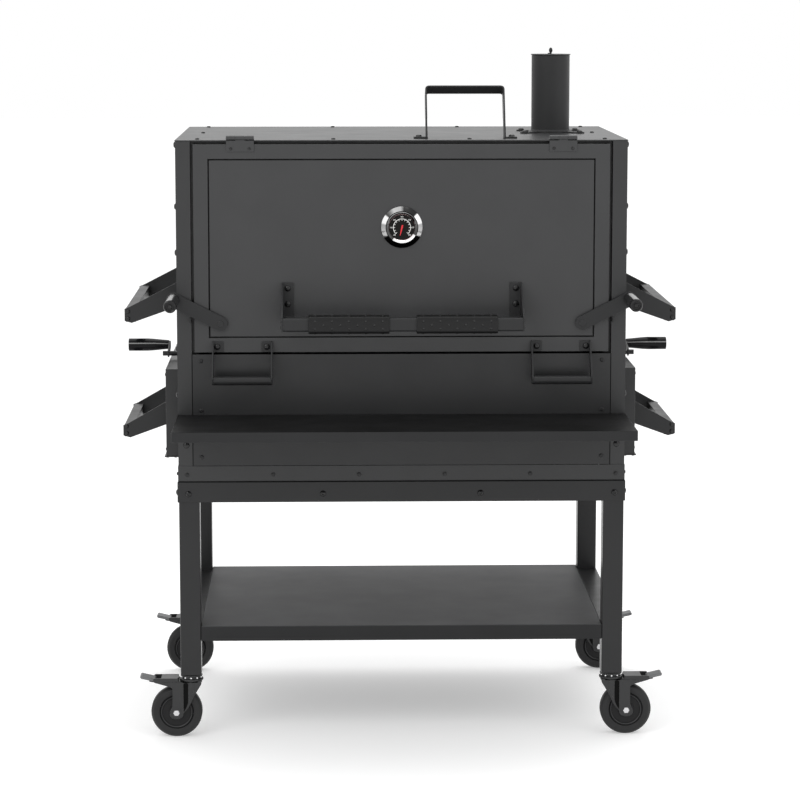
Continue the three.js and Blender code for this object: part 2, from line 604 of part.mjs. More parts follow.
// ---------------------------------------------------------------- grate lift
// One flank of a tooth follows the involute of the base circle.
function pinion(from, width) {
  const pressure = THREE.MathUtils.degToRad(20);
  const baseR = pitchR * Math.cos(pressure);
  const involute = (angle) => Math.tan(angle) - angle;
  const outerR = pitchR + GEAR_MODULE * 0.9;
  const rootR = pitchR - GEAR_MODULE * 1.1;
  const pitchHalf = Math.PI / (2 * GEAR_TEETH) - GEAR_BACKLASH / 2 / pitchR;
  const halfAngle = (r) => pitchHalf + involute(pressure) - involute(Math.acos(Math.min(1, baseR / r)));
  const flank = [rootR, pitchR, outerR];
  const points = [];
  for (let tooth = 0; tooth < GEAR_TEETH; tooth += 1) {
    const middle = tooth * 2 * Math.PI / GEAR_TEETH;
    const at = (r, side) => points.push([r * Math.cos(middle + side * halfAngle(r)),
      r * Math.sin(middle + side * halfAngle(r))]);
    flank.forEach((r) => at(r, -1));
    flank.slice().reverse().forEach((r) => at(r, 1));
  }
  return prism(outline(points), 'x', from, from + width).translate([0, SHAFT_Y, SHAFT_Z]);
}

// The rack has a gap at the shaft's height, where the pinion's tooth points.
function rack(x) {
  const pitch = Math.PI * GEAR_MODULE;
  const tip = GEAR_MODULE * 0.65;
  const root = GEAR_MODULE * 1.2;
  const half = pitch / 4 - GEAR_BACKLASH / 2;
  const slope = Math.tan(THREE.MathUtils.degToRad(20));
  const first = Math.ceil((rackBottom + 3 - SHAFT_Z) / pitch);
  const last = Math.floor(14 / pitch);
  const points = [[rackY + 10, rackBottom], [rackY + root, rackBottom]];
  for (let tooth = first; tooth <= last; tooth += 1) {
    const z = SHAFT_Z + (tooth + 0.5) * pitch;
    points.push([rackY + root, z - half - root * slope], [rackY - tip, z - half + tip * slope],
      [rackY - tip, z + half - tip * slope], [rackY + root, z + half + root * slope]);
  }
  points.push([rackY + root, GRATE_BOTTOM + 2], [rackY + 10, GRATE_BOTTOM + 2]);
  return prism(outline(points), 'x', x + 1, x + GEAR_WIDTH - 1);
}

function cookingGrate() {
  const [x0, x1] = [gearX[0], gearX[1] + GEAR_WIDTH];
  const y = halfD - 45;
  const z = [GRATE_BOTTOM, GRATE_BOTTOM + GRATE_BAR];
  const rim = cut(box([x0, x1], [-y, y], z),
    box([x0 + GEAR_WIDTH, x1 - GEAR_WIDTH], [-y + 6, y - 6], [z[0] - 1, z[1] + 1]));
  const spacing = (x1 - x0 - 2 * GEAR_WIDTH) / (GRATE_RODS + 1);
  const rods = Array.from({ length: GRATE_RODS }, (_, i) => {
    const x = x0 + GEAR_WIDTH + spacing * (i + 1);
    return box([x - GRATE_ROD / 2, x + GRATE_ROD / 2], [-y + 3, y - 3], [z[1] - GRATE_ROD, z[1]]);
  });
  const stay = box([x0 + 3, x1 - 3], [-3, 3], [z[0] + 1, z[1] - GRATE_ROD + 1]);
  return join(rim, rods, stay, gearX.map((x) => rack(x)));
}

const armX = halfW + DRAWER_PROUD + 2;      // back of the crank's arm
const crankTip = { y: SHAFT_Y + CRANK_REACH * Math.cos(0.18), z: SHAFT_Z + CRANK_RISE };

function crank() {
  const shaft = rod(SHAFT_R, 'x', 4, armX + 13, [0, SHAFT_Y, SHAFT_Z]);
  const pinions = gearX.map((x) => pinion(x + 0.5, GEAR_WIDTH - 1));
  const reach = Math.hypot(crankTip.y - SHAFT_Y, crankTip.z - SHAFT_Z);
  const turn = Math.atan2(crankTip.z - SHAFT_Z, crankTip.y - SHAFT_Y);
  const shape = new THREE.Shape();
  shape.absarc(0, 0, 8, Math.PI / 2, 1.5 * Math.PI);
  shape.absarc(reach, 0, 8, -Math.PI / 2, Math.PI / 2);
  const arm = prism(shape, 'x', armX, armX + 3).rotate([THREE.MathUtils.radToDeg(turn), 0, 0])
    .translate([0, SHAFT_Y, SHAFT_Z]);
  const spindle = rod(3.5, 'x', armX + 1, armX + CRANK_GRIP_LENGTH, [0, crankTip.y, crankTip.z], 12);
  return join(shaft, pinions, arm, spindle);
}

function crankGrip() {
  const from = armX + 3 + GAP;
  const to = from + CRANK_GRIP_LENGTH;
  return turned([[4.2, from], [9.5, from], [10.5, from + 8], [CRANK_GRIP_R, from + 30],
    [CRANK_GRIP_R, to - 8], [CRANK_GRIP_R - 3, to - 1], [CRANK_GRIP_R - 6, to], [0, to], [0, to - 2],
    [4.2, to - 2], [4.2, from]], 'x', [0, crankTip.y, crankTip.z], 24);
}

for (const [name, side] of SIDES) {
  place(`side_handle_${name}`, sideHandle(upperHandle), blackCoat, side);
  place(`drawer_handle_${name}`, sideHandle(lowerHandle), blackCoat, side);
  place(`charcoal_drawer_${name}`, drawer(), coat, side);
  place(`cooking_grate_${name}`, cookingGrate(), castIron, side);
  place(`crank_${name}`, crank(), zinc, side);
  place(`crank_grip_${name}`, crankGrip(), plasticBlack, side);
}

// ---------------------------------------------------------------- chimney and door rest
const capPivot = { x: CHIMNEY_X, y: CHIMNEY_Y + CHIMNEY_R - 9 };
const chimneyLow = ROOF_TOP + GAP;
const chimneyAxis = [CHIMNEY_X, CHIMNEY_Y, 0];

function chimney() {
  const tube = ring(CHIMNEY_R - CHIMNEY_WALL, CHIMNEY_R, 'z', chimneyLow, CHIMNEY_TOP, chimneyAxis, 32);
  const ear = box([-EAR_REACH, EAR_REACH], [-9, 9], [chimneyLow, chimneyLow + 2.5]);
  const ears = [45, 135].map((a) => ear.rotate([0, 0, a]).translate(chimneyAxis));
  const bore = rod(CHIMNEY_R - CHIMNEY_WALL, 'z', ROOF_TOP - 1, ROOF_TOP + 8, chimneyAxis, 32);
  const lug = cut(
    box([CHIMNEY_X - 6, CHIMNEY_X + 6], [capPivot.y - 6, CHIMNEY_Y + CHIMNEY_R - 1],
      [CHIMNEY_TOP - 14, CHIMNEY_TOP - 1]),
    rod(3.2, 'z', CHIMNEY_TOP - 15, CHIMNEY_TOP, [capPivot.x, capPivot.y, 0], 12));
  return join(cut(join(tube, ears), bore), lug);
}
place('chimney', chimney(), coat);

function chimneyCap() {
  const disc = rod(CHIMNEY_R + 1.5, 'z', CHIMNEY_TOP + GAP, CHIMNEY_TOP + GAP + 2, chimneyAxis, 32);
  const tab = box([CHIMNEY_X - 3, CHIMNEY_X + 3], [CHIMNEY_Y - 7, CHIMNEY_Y + 7],
    [CHIMNEY_TOP + 1, CHIMNEY_TOP + 16]);
  const pin = rod(2.6, 'z', CHIMNEY_TOP - 10, CHIMNEY_TOP + 1, [capPivot.x, capPivot.y, 0], 12);
  return join(disc, tab, pin);
}
place('chimney_cap', chimneyCap(), coat);

// A strap bent to a bridge, leaning back over the roof.
function doorRest() {
  const lean = THREE.MathUtils.degToRad(29);
  const [width, height, strap, half] = [31, 108, 3.3, 78.55];
  const centre = 127.25;
  const foot = { y: -halfD + 68, z: ROOF_TOP + GAP };
  const bridge = cut(box([-half, half], [-width / 2, width / 2], [-22, height]),
    box([-half + strap, half - strap], [-width / 2 - 1, width / 2 + 1], [-30, height - strap]));
  const leaned = bridge.rotate([-THREE.MathUtils.radToDeg(lean), 0, 0]).translate([centre, foot.y, foot.z]);
  const trimmed = cut(leaned, box([-100, 400], [foot.y - 120, foot.y + 120], [foot.z - 60, foot.z]));
  const feet = [[25, 52.5], [202, 228]].map((x) => box(
    x, [foot.y - 18, foot.y + 18], [foot.z, foot.z + strap]));
  return join(trimmed, feet);
}
place('door_rest', doorRest(), blackCoat);

export default smoker;
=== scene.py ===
"""Looks of a cabinet charcoal smoker on a caster cart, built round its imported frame."""

from __future__ import annotations

import logging
import math
from collections.abc import Mapping, Sequence
from dataclasses import dataclass
from enum import Enum

import bmesh
import bpy
from mathutils import Matrix, Vector


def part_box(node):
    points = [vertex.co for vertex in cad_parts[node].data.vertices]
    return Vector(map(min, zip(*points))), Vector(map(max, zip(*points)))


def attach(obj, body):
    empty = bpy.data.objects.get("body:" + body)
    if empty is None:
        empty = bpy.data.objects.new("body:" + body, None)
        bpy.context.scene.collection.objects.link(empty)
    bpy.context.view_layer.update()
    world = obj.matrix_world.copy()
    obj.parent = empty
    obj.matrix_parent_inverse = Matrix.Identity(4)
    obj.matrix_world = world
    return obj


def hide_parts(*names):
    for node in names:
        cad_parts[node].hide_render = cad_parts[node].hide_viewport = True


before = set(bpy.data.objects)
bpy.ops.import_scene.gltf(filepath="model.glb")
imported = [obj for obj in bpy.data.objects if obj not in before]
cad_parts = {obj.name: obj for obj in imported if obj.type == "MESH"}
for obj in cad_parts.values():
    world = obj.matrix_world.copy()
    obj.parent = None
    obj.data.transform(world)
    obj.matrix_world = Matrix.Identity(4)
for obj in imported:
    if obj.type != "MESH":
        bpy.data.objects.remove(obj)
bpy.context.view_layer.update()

LOG = logging.getLogger("smoker")
MM = 0.001
DIAL_HEIGHT = 1020.0
POST_FRONT = -300.0
FOOT_FRONT = -301.0
Point = tuple[float, float, float]
Outline = Sequence[tuple[float, float]]


# --------------------------------------------------------------------------- places
@dataclass(frozen=True)
class Span:
    """The corners of some CAD nodes, in millimetres from the middle of the body.

    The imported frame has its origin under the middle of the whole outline, which the front shelf
    pulls forwards, so places are counted from the middle of the roof instead.
    """

    low: Vector
    high: Vector

    @classmethod
    def of(cls, *nodes: str) -> Span:
        """Measure CAD nodes.

        Args:
            nodes: Names of the nodes.

        Returns:
            Their common box.
        """
        boxes = [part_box(node) for node in nodes]
        low = Vector([min(box[0][i] for box in boxes) for i in range(3)]) / MM
        high = Vector([max(box[1][i] for box in boxes) for i in range(3)]) / MM
        return cls(low - MIDDLE, high - MIDDLE)

    @property
    def centre(self) -> Vector:
        """The middle of the box."""
        return (self.low + self.high) / 2

    @property
    def size(self) -> Vector:
        """Its extent along each axis."""
        return self.high - self.low


_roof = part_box("roof")
MIDDLE = Vector((0, (_roof[0][1] + _roof[1][1]) / 2 / MM, 0))


class Side(Enum):
    """Which half of the smoker a mirrored piece belongs to."""

    LEFT = -1
    RIGHT = 1

    @property
    def word(self) -> str:
        """The word that names use."""
        return self.name.lower()


class Axis(Enum):
    """The direction that a turned or extruded shape runs along."""

    X = 0
    Y = 1
    Z = 2

    def point(self, across: float, up: float, along: float) -> Vector:
        """Place a point.

        Args:
            across: Its first cross coordinate.
            up: Its second cross coordinate.
            along: Its distance along the axis.

        Returns:
            The point.
        """
        order = {Axis.X: (along, across, up), Axis.Y: (across, along, up), Axis.Z: (across, up, along)}
        return Vector(order[self])


# --------------------------------------------------------------------------- shader maths
@dataclass(frozen=True)
class Signal:
    """A shader socket that takes part in arithmetic."""

    tree: bpy.types.NodeTree
    socket: bpy.types.NodeSocket

    def _math(self, operation: str, *terms: Signal | float) -> Signal:
        """Add a Math node.

        Args:
            operation: The node's operation.
            terms: Its inputs in order.

        Returns:
            The node's result.
        """
        node = self.tree.nodes.new("ShaderNodeMath")
        node.operation = operation
        for slot, term in zip(node.inputs, terms):
            if isinstance(term, Signal):
                self.tree.links.new(term.socket, slot)
            else:
                slot.default_value = term
        return Signal(self.tree, node.outputs[0])

    def __add__(self, other: Signal | float) -> Signal:
        """Sum."""
        return self._math("ADD", self, other)

    __radd__ = __add__

    def __sub__(self, other: Signal | float) -> Signal:
        """Difference."""
        return self._math("SUBTRACT", self, other)

    def __rsub__(self, other: float) -> Signal:
        """Difference from a number."""
        return self._math("SUBTRACT", other, self)

    def __mul__(self, other: Signal | float) -> Signal:
        """Product."""
        return self._math("MULTIPLY", self, other)

    __rmul__ = __mul__

    def clamped(self) -> Signal:
        """The signal kept between 0 and 1."""
        return self._math("MINIMUM", self._math("MAXIMUM", self, 0.0), 1.0)


class Recipe:
    """The node tree of one material."""

    FIRST_COLOUR = 6
    SECOND_COLOUR = 7
    MIXED_COLOUR = 2

    def __init__(self, name: str) -> None:
        """Start a material with a Principled shader.

        Args:
            name: The material's name.
        """
        self.material = bpy.data.materials.new(name)
        self.material.use_nodes = True
        self.tree = self.material.node_tree
        self.shader = self.tree.nodes["Principled BSDF"]

    def node(
        self,
        kind: str,
        settings: Mapping[str, object] | None = None,
        inputs: Mapping[str | int, object] | None = None,
        output: str | int = 0,
    ) -> Signal:
        """Add any node.

        Args:
            kind: The node's type, without its ShaderNode prefix.
            settings: Attributes set first; stops is a ramp's list of (place, grey).
            inputs: A value or a Signal for each named socket.
            output: The socket to hand back.

        Returns:
            That output.
        """
        node = self.tree.nodes.new("ShaderNode" + kind)
        for key, value in (settings or {}).items():
            if key == "stops":
                ramp = node.color_ramp
                for index, (place, grey) in enumerate(value):
                    stop = ramp.elements[index] if index < 2 else ramp.elements.new(place)
                    stop.position = place
                    stop.color = (grey, grey, grey, 1)
            else:
                setattr(node, key, value)
        for key, value in (inputs or {}).items():
            if isinstance(value, Signal):
                self.tree.links.new(value.socket, node.inputs[key])
            else:
                node.inputs[key].default_value = value
        return Signal(self.tree, node.outputs[output])

    def place(self) -> Signal:
        """Where the point is on its own piece, in metres."""
        return self.node("TexCoord", output="Object")

    def coordinate(self, vector: Signal, axis: Axis) -> Signal:
        """One coordinate of a vector."""
        return self.node("SeparateXYZ", inputs={0: vector}, output=axis.name)

    def facing(self) -> Signal:
        """The way that the flat surface faces."""
        return self.node("NewGeometry", output="Normal")

    def noise(self, size: float, detail: float = 3.0) -> Signal:
        """Noise whose features have a real size.

        Args:
            size: The size of one blotch in millimetres.
            detail: Levels of finer noise.

        Returns:
            A value from 0 to 1.
        """
        inputs = {"Vector": self.place(), "Scale": 1 / (size * MM), "Detail": detail, "Roughness": 0.55}
        return self.node("TexNoise", inputs=inputs)

    def edges(self, radius: float) -> Signal:
        """A mask of outer edges.

        Args:
            radius: How far from the edge the mask reaches, in millimetres.

        Returns:
            A value that rises towards 1 at an edge.
        """
        rounded = self.node("Bevel", {"samples": 4}, {"Radius": radius * MM})
        along = self.node("VectorMath", {"operation": "DOT_PRODUCT"}, {0: rounded, 1: self.facing()}, "Value")
        return ((1 - along) * 6.0).clamped()

    def mix(self, factor: Signal, first: Signal, second: Sequence[float] | Signal) -> Signal:
        """Blend two colours.

        Args:
            factor: How much of the second shows.
            first: A colour.
            second: A colour.

        Returns:
            The blend.
        """
        rgba = [tone if isinstance(tone, Signal) else (*tone, 1.0) for tone in (first, second)]
        inputs = {"Factor": factor, self.FIRST_COLOUR: rgba[0], self.SECOND_COLOUR: rgba[1]}
        return self.node("Mix", {"data_type": "RGBA"}, inputs, self.MIXED_COLOUR)

    def scaled(self, colour: Sequence[float] | Signal, factor: Signal) -> Signal:
        """A colour made lighter or darker."""
        return self.node("VectorMath", {"operation": "SCALE"}, {0: colour, "Scale": factor})

    def feed(self, socket: str, value: Signal | float | Sequence[float]) -> None:
        """Give one of the shader's sockets its value.

        Args:
            socket: The socket's name.
            value: A constant, or a signal that varies over the surface.
        """
        if isinstance(value, Signal):
            self.tree.links.new(value.socket, self.shader.inputs[socket])
        else:
            self.shader.inputs[socket].default_value = value

    def bump(self, height: Signal, depth: float, under: Signal | None = None) -> Signal:
        """Raise the surface.

        Args:
            height: The relief, 0 to 1.
            depth: Its real depth in millimetres.
            under: A normal from an earlier bump.

        Returns:
            The new normal.
        """
        inputs = {"Height": height, "Distance": depth * MM, "Strength": 1.0}
        if under is not None:
            inputs["Normal"] = under
        return self.node("Bump", inputs=inputs)


# --------------------------------------------------------------------------- finishes
@dataclass(frozen=True)
class Finish:
    """A surface finish with real-size grain, mottling and worn edges, and optional painted top lighting and
    painted highlight band.
    """

    name: str
    slot: str
    colour: Point
    mottle: float = 0.12
    mottle_size: float = 90.0
    roughness: float = 0.34
    roughness_swing: float = 0.1
    metallic: float = 0.0
    grain: float = 0.9
    grain_depth: float = 0.02
    wave: float = 7.0
    wave_depth: float = 0.03
    worn: Point = (0.2, 0.2, 0.2)
    wear: float = 0.25
    # painted top lighting: faces that look up are mixed towards the colour below, as painted shade or painted
    # reflection
    film: float = 0.0
    film_colour: Point = (0.2, 0.2, 0.2)
    specular: float = 0.38
    # painted highlight: strength of a light band on faces that tilt a little upwards
    streak: float = 0.0

    def build(self) -> bpy.types.Material:
        """Make the material.

        Returns:
            The finished material.
        """
        recipe = Recipe(self.name)
        specks = recipe.noise(self.grain * 3, 2.0)
        recipe.feed("Base Color", self.tone(recipe, specks))
        smears = recipe.noise(55.0, 5.0)
        swing = (smears - 0.5) * (2 * self.roughness_swing) + (specks - 0.5) * self.roughness_swing
        recipe.feed("Roughness", (self.roughness + swing).clamped())
        recipe.feed("Metallic", self.metallic)
        recipe.feed("Specular IOR Level", self.specular)
        normal = recipe.bump(recipe.noise(self.wave, 2.0), self.wave_depth)
        normal = recipe.bump(recipe.noise(self.grain, 2.0), self.grain_depth, normal)
        recipe.feed("Normal", normal)
        return recipe.material

    def tone(self, recipe: Recipe, specks: Signal) -> Signal:
        """Mottle the colour, wear its edges and lay the painted top lighting and the painted highlight band
        over it.

        Args:
            recipe: The material that is being made.
            specks: Its fine grain.

        Returns:
            The colour all over.
        """
        blotches = recipe.noise(self.mottle_size, 4.0)
        shade = 1 + (blotches - 0.5) * (2 * self.mottle) + (specks - 0.5) * self.mottle
        colour = recipe.scaled(self.colour, shade)
        if self.wear:
            chips = recipe.noise(4.0, 5.0)
            mask = recipe.edges(1.2) * ((chips - 0.48) * 6.0).clamped() * self.wear
            colour = recipe.mix(mask, colour, self.worn)
        if self.film or self.streak:
            up = recipe.coordinate(recipe.facing(), Axis.Z)
        # painted top lighting: upward faces take painted shade or painted reflection, varied in large
        # blotches
        if self.film:
            film = up.clamped() * (recipe.noise(160.0, 5.0) + 0.5) * self.film
            colour = recipe.mix(film.clamped(), colour, self.film_colour)
        # painted highlight: a light band laid into the colour where faces tilt a little upwards
        if self.streak:
            stops = [(0.0, 0.0), (0.2, 0.0), (0.27, 1.0), (0.36, 0.8), (0.45, 0.0), (1.0, 0.0)]
            highlight_band = recipe.node("ValToRGB", {"stops": stops}, {0: up})
            colour = recipe.mix(highlight_band * self.streak, colour, (0.45, 0.45, 0.45))
        return colour


@dataclass(frozen=True)
class SpunMetal:
    """Polished metal spun about the dial's axis, with painted reflections that fan out from it in its colour.
    """

    name: str
    slot: str
    fan: tuple[tuple[float, float], ...]
    roughness: float = 0.12

    def build(self) -> bpy.types.Material:
        """Make the material.

        Returns:
            The finished material.
        """
        recipe = Recipe(self.name)
        across = recipe.coordinate(recipe.place(), Axis.X)
        above = recipe.coordinate(recipe.place(), Axis.Z) - DIAL_HEIGHT * MM
        flat = recipe.node("CombineXYZ", inputs={"X": above, "Y": across})
        turn = recipe.node("TexGradient", {"gradient_type": "RADIAL"}, {"Vector": flat}, 1)
        # painted reflections: the colour ramp lays light and dark wedges round the dial's axis
        stops = [((angle + 180) / 360, grey) for angle, grey in self.fan]
        fan = recipe.node("ValToRGB", {"stops": stops}, {0: turn})
        haze = recipe.noise(3.0, 3.0) * 0.12 + 0.94
        recipe.feed("Base Color", recipe.scaled(fan, haze))
        recipe.feed("Metallic", 1.0)
        recipe.feed("Roughness", (recipe.noise(14.0, 4.0) * 0.08 + self.roughness).clamped())
        recipe.feed("Normal", recipe.bump(recipe.noise(0.8, 2.0), 0.002))
        return recipe.material


Look = Finish | SpunMetal

COAT = Finish("charcoal_powder_coat", "charcoal_coat", (0.034, 0.0345, 0.0355))
# painted shade: a darker copy of the charcoal coat for the front panel, which sits under the shelf and
# handles, and for the drawers
COAT_SHADED = Finish("dark_powder_coat", "charcoal_coat", (0.0165, 0.0168, 0.0175))
# painted shade and dark reflection of the front panel on the shelf's top faces
SHELF = Finish(
    "front_shelf_coat", "charcoal_coat", (0.0235, 0.0238, 0.0245), roughness=0.45, film=0.8,
    film_colour=(0.004, 0.004, 0.004), specular=0.12,
)
# painted reflection of the bright surroundings on the pan's top faces
PAN = Finish(
    "shelf_pan_coat", "charcoal_coat", (0.0205, 0.0207, 0.0213), roughness=0.5, roughness_swing=0.04,
    wave_depth=0.01, film=0.9, film_colour=(0.084, 0.085, 0.087), specular=0.13,
)
# painted shade: the darkest copy of the charcoal coat, for the legs, the base rail and some screws
COAT_DEEP_SHADE = Finish("leg_powder_coat", "charcoal_coat", (0.012, 0.0122, 0.0128), specular=0.33)
STACK = Finish("stack_powder_coat", "charcoal_coat", (0.022, 0.0223, 0.023), roughness=0.45, specular=0.25)
# painted highlight: a lighter copy of the wheel plastic for the ridge rings of the core
CORE_RIM_HIGHLIGHT = Finish("wheel_rim_plastic", "wheel_core", (0.03, 0.03, 0.031), roughness=0.4, wear=0.0)
# painted shade: a darker copy of the charcoal coat for the shell frame and its foot angle
COAT_FRAME_SHADE = Finish("frame_powder_coat", "charcoal_coat", (0.0245, 0.0249, 0.0256))
# painted shade: near-black strips laid in gaps and grooves where shade falls
PAINTED_SHADE = Finish("dark_seam", "charcoal_coat", (0.003, 0.003, 0.003), roughness=0.8, wear=0.0, specular=0.1)
BLACK = Finish(
    "black_powder_coat", "black_coat", (0.0215, 0.0218, 0.0225), roughness=0.38, wear=0.35, specular=0.24,
)
# painted shade on the sleeves' top faces
SLEEVE = Finish(
    "black_sleeve", "black_coat", (0.0075, 0.0075, 0.0078), roughness=0.42, wear=0.0, film=1.0,
    film_colour=(0.001, 0.001, 0.001), specular=0.25,
)
ROOF = Finish(
    "roof_powder_coat", "charcoal_coat", (0.032, 0.0325, 0.0335), roughness=0.36, roughness_swing=0.05,
    wave_depth=0.012, wear=0.3, specular=0.27,
)
IRON = Finish(
    "enamelled_iron", "grate_iron", (0.014, 0.014, 0.015), roughness=0.5, grain=2.2, grain_depth=0.12,
    worn=(0.09, 0.06, 0.045), wear=0.6,
)
SOOT = Finish(
    "sooty_steel", "black_coat", (0.012, 0.011, 0.010), mottle=0.4, mottle_size=60, roughness=0.75,
    grain=1.6, grain_depth=0.08, worn=(0.08, 0.06, 0.05), wear=0.4,
)
CRANK = Finish(
    "black_crank_steel", "crank_steel", (0.013, 0.013, 0.014), roughness=0.3, metallic=0.2, wear=0.4,
)
ZINC = Finish(
    "zinc_steel", "caster_steel", (0.62, 0.62, 0.63), mottle=0.1, mottle_size=8, roughness=0.25,
    metallic=1.0, grain=0.5, grain_depth=0.008, wave_depth=0.004, worn=(0.7, 0.7, 0.7), wear=0.2,
)
BOLT = Finish(
    "black_bolt", "charcoal_coat", (0.0075, 0.0075, 0.008), mottle_size=5, roughness=0.22, grain=0.5,
    grain_depth=0.006, wave_depth=0.004, wear=0.4,
)
DIAL = Finish(
    "dial_black", "chrome", (0.005, 0.005, 0.0045), roughness=0.5, specular=0.12, wave_depth=0.0, wear=0.0,
)
INK = Finish(
    "dial_white", "chrome", (0.72, 0.72, 0.70), mottle=0.05, roughness=0.6, wave_depth=0.0, wear=0.0,
)
NEEDLE = Finish(
    "needle_red", "chrome", (0.62, 0.02, 0.03), mottle=0.05, roughness=0.4, wave_depth=0.0, wear=0.0,
)
# painted reflections: light and dark wedges round the dial, laid into the bezel's colour
BEZEL = SpunMetal(
    "spun_chrome", "chrome",
    ((-180, 0.02), (-123, 0.03), (-119, 0.42), (-82, 0.36), (-76, 0.95), (-56, 0.98), (-51, 0.06),
     (-38, 0.2), (-26, 0.6), (-4, 0.5), (6, 0.05), (46, 0.03), (51, 0.98), (77, 0.96), (81, 0.42),
     (117, 0.5), (121, 0.03), (180, 0.02)),
)
# painted reflections: light and dark wedges round the rim, laid into its colour
RIM = SpunMetal(
    "rim_chrome", "chrome",
    ((-180, 1.0), (-144, 1.0), (-141, 0.06), (-90, 0.1), (-40, 0.2), (0, 0.3), (40, 0.14), (90, 0.1),
     (119, 0.07), (122, 1.0), (180, 1.0)),
    0.08,
)
# painted highlight: a light band along the grips
GLOSS = Finish(
    "gloss_black_grip", "crank_grip", (0.006, 0.006, 0.007), roughness=0.14, roughness_swing=0.05,
    grain_depth=0.002, wave_depth=0.006, wear=0.0, specular=0.12, streak=0.7,
)
TUBE = Finish(
    "gloss_black_tube", "black_coat", (0.006, 0.006, 0.0065), roughness=0.16, roughness_swing=0.05,
    grain_depth=0.003, wave_depth=0.006, wear=0.2, specular=0.3,
)
FORK = Finish("fork_steel", "caster_steel", (0.020, 0.0203, 0.021), roughness=0.34, wear=0.4)
BALL = Finish("race_balls", "caster_steel", (0.85, 0.85, 0.86), roughness=0.12, metallic=1.0, wear=0.0)
TYRE = Finish(
    "tyre_rubber", "tyre", (0.0115, 0.0115, 0.012), mottle=0.2, mottle_size=25, roughness=0.6, grain=0.8,
    grain_depth=0.03, worn=(0.05, 0.048, 0.045), wear=0.4,
)
CORE = Finish(
    "wheel_plastic", "wheel_core", (0.0065, 0.0065, 0.007), roughness=0.45, worn=(0.06, 0.06, 0.06),
    wear=0.3, specular=0.25,
)
PEDAL = Finish(
    "pedal_plastic", "pedal_plastic", (0.13, 0.132, 0.135), roughness=0.45, worn=(0.3, 0.3, 0.3), wear=0.3,
)

_materials: dict[str, bpy.types.Material] = {}


def material_of(finish: Look) -> bpy.types.Material:
    """Get a finish's material, made once.

    Args:
        finish: The finish.

    Returns:
        Its material.
    """
    if finish.name not in _materials:
        _materials[finish.name] = finish.build()
    return _materials[finish.name]


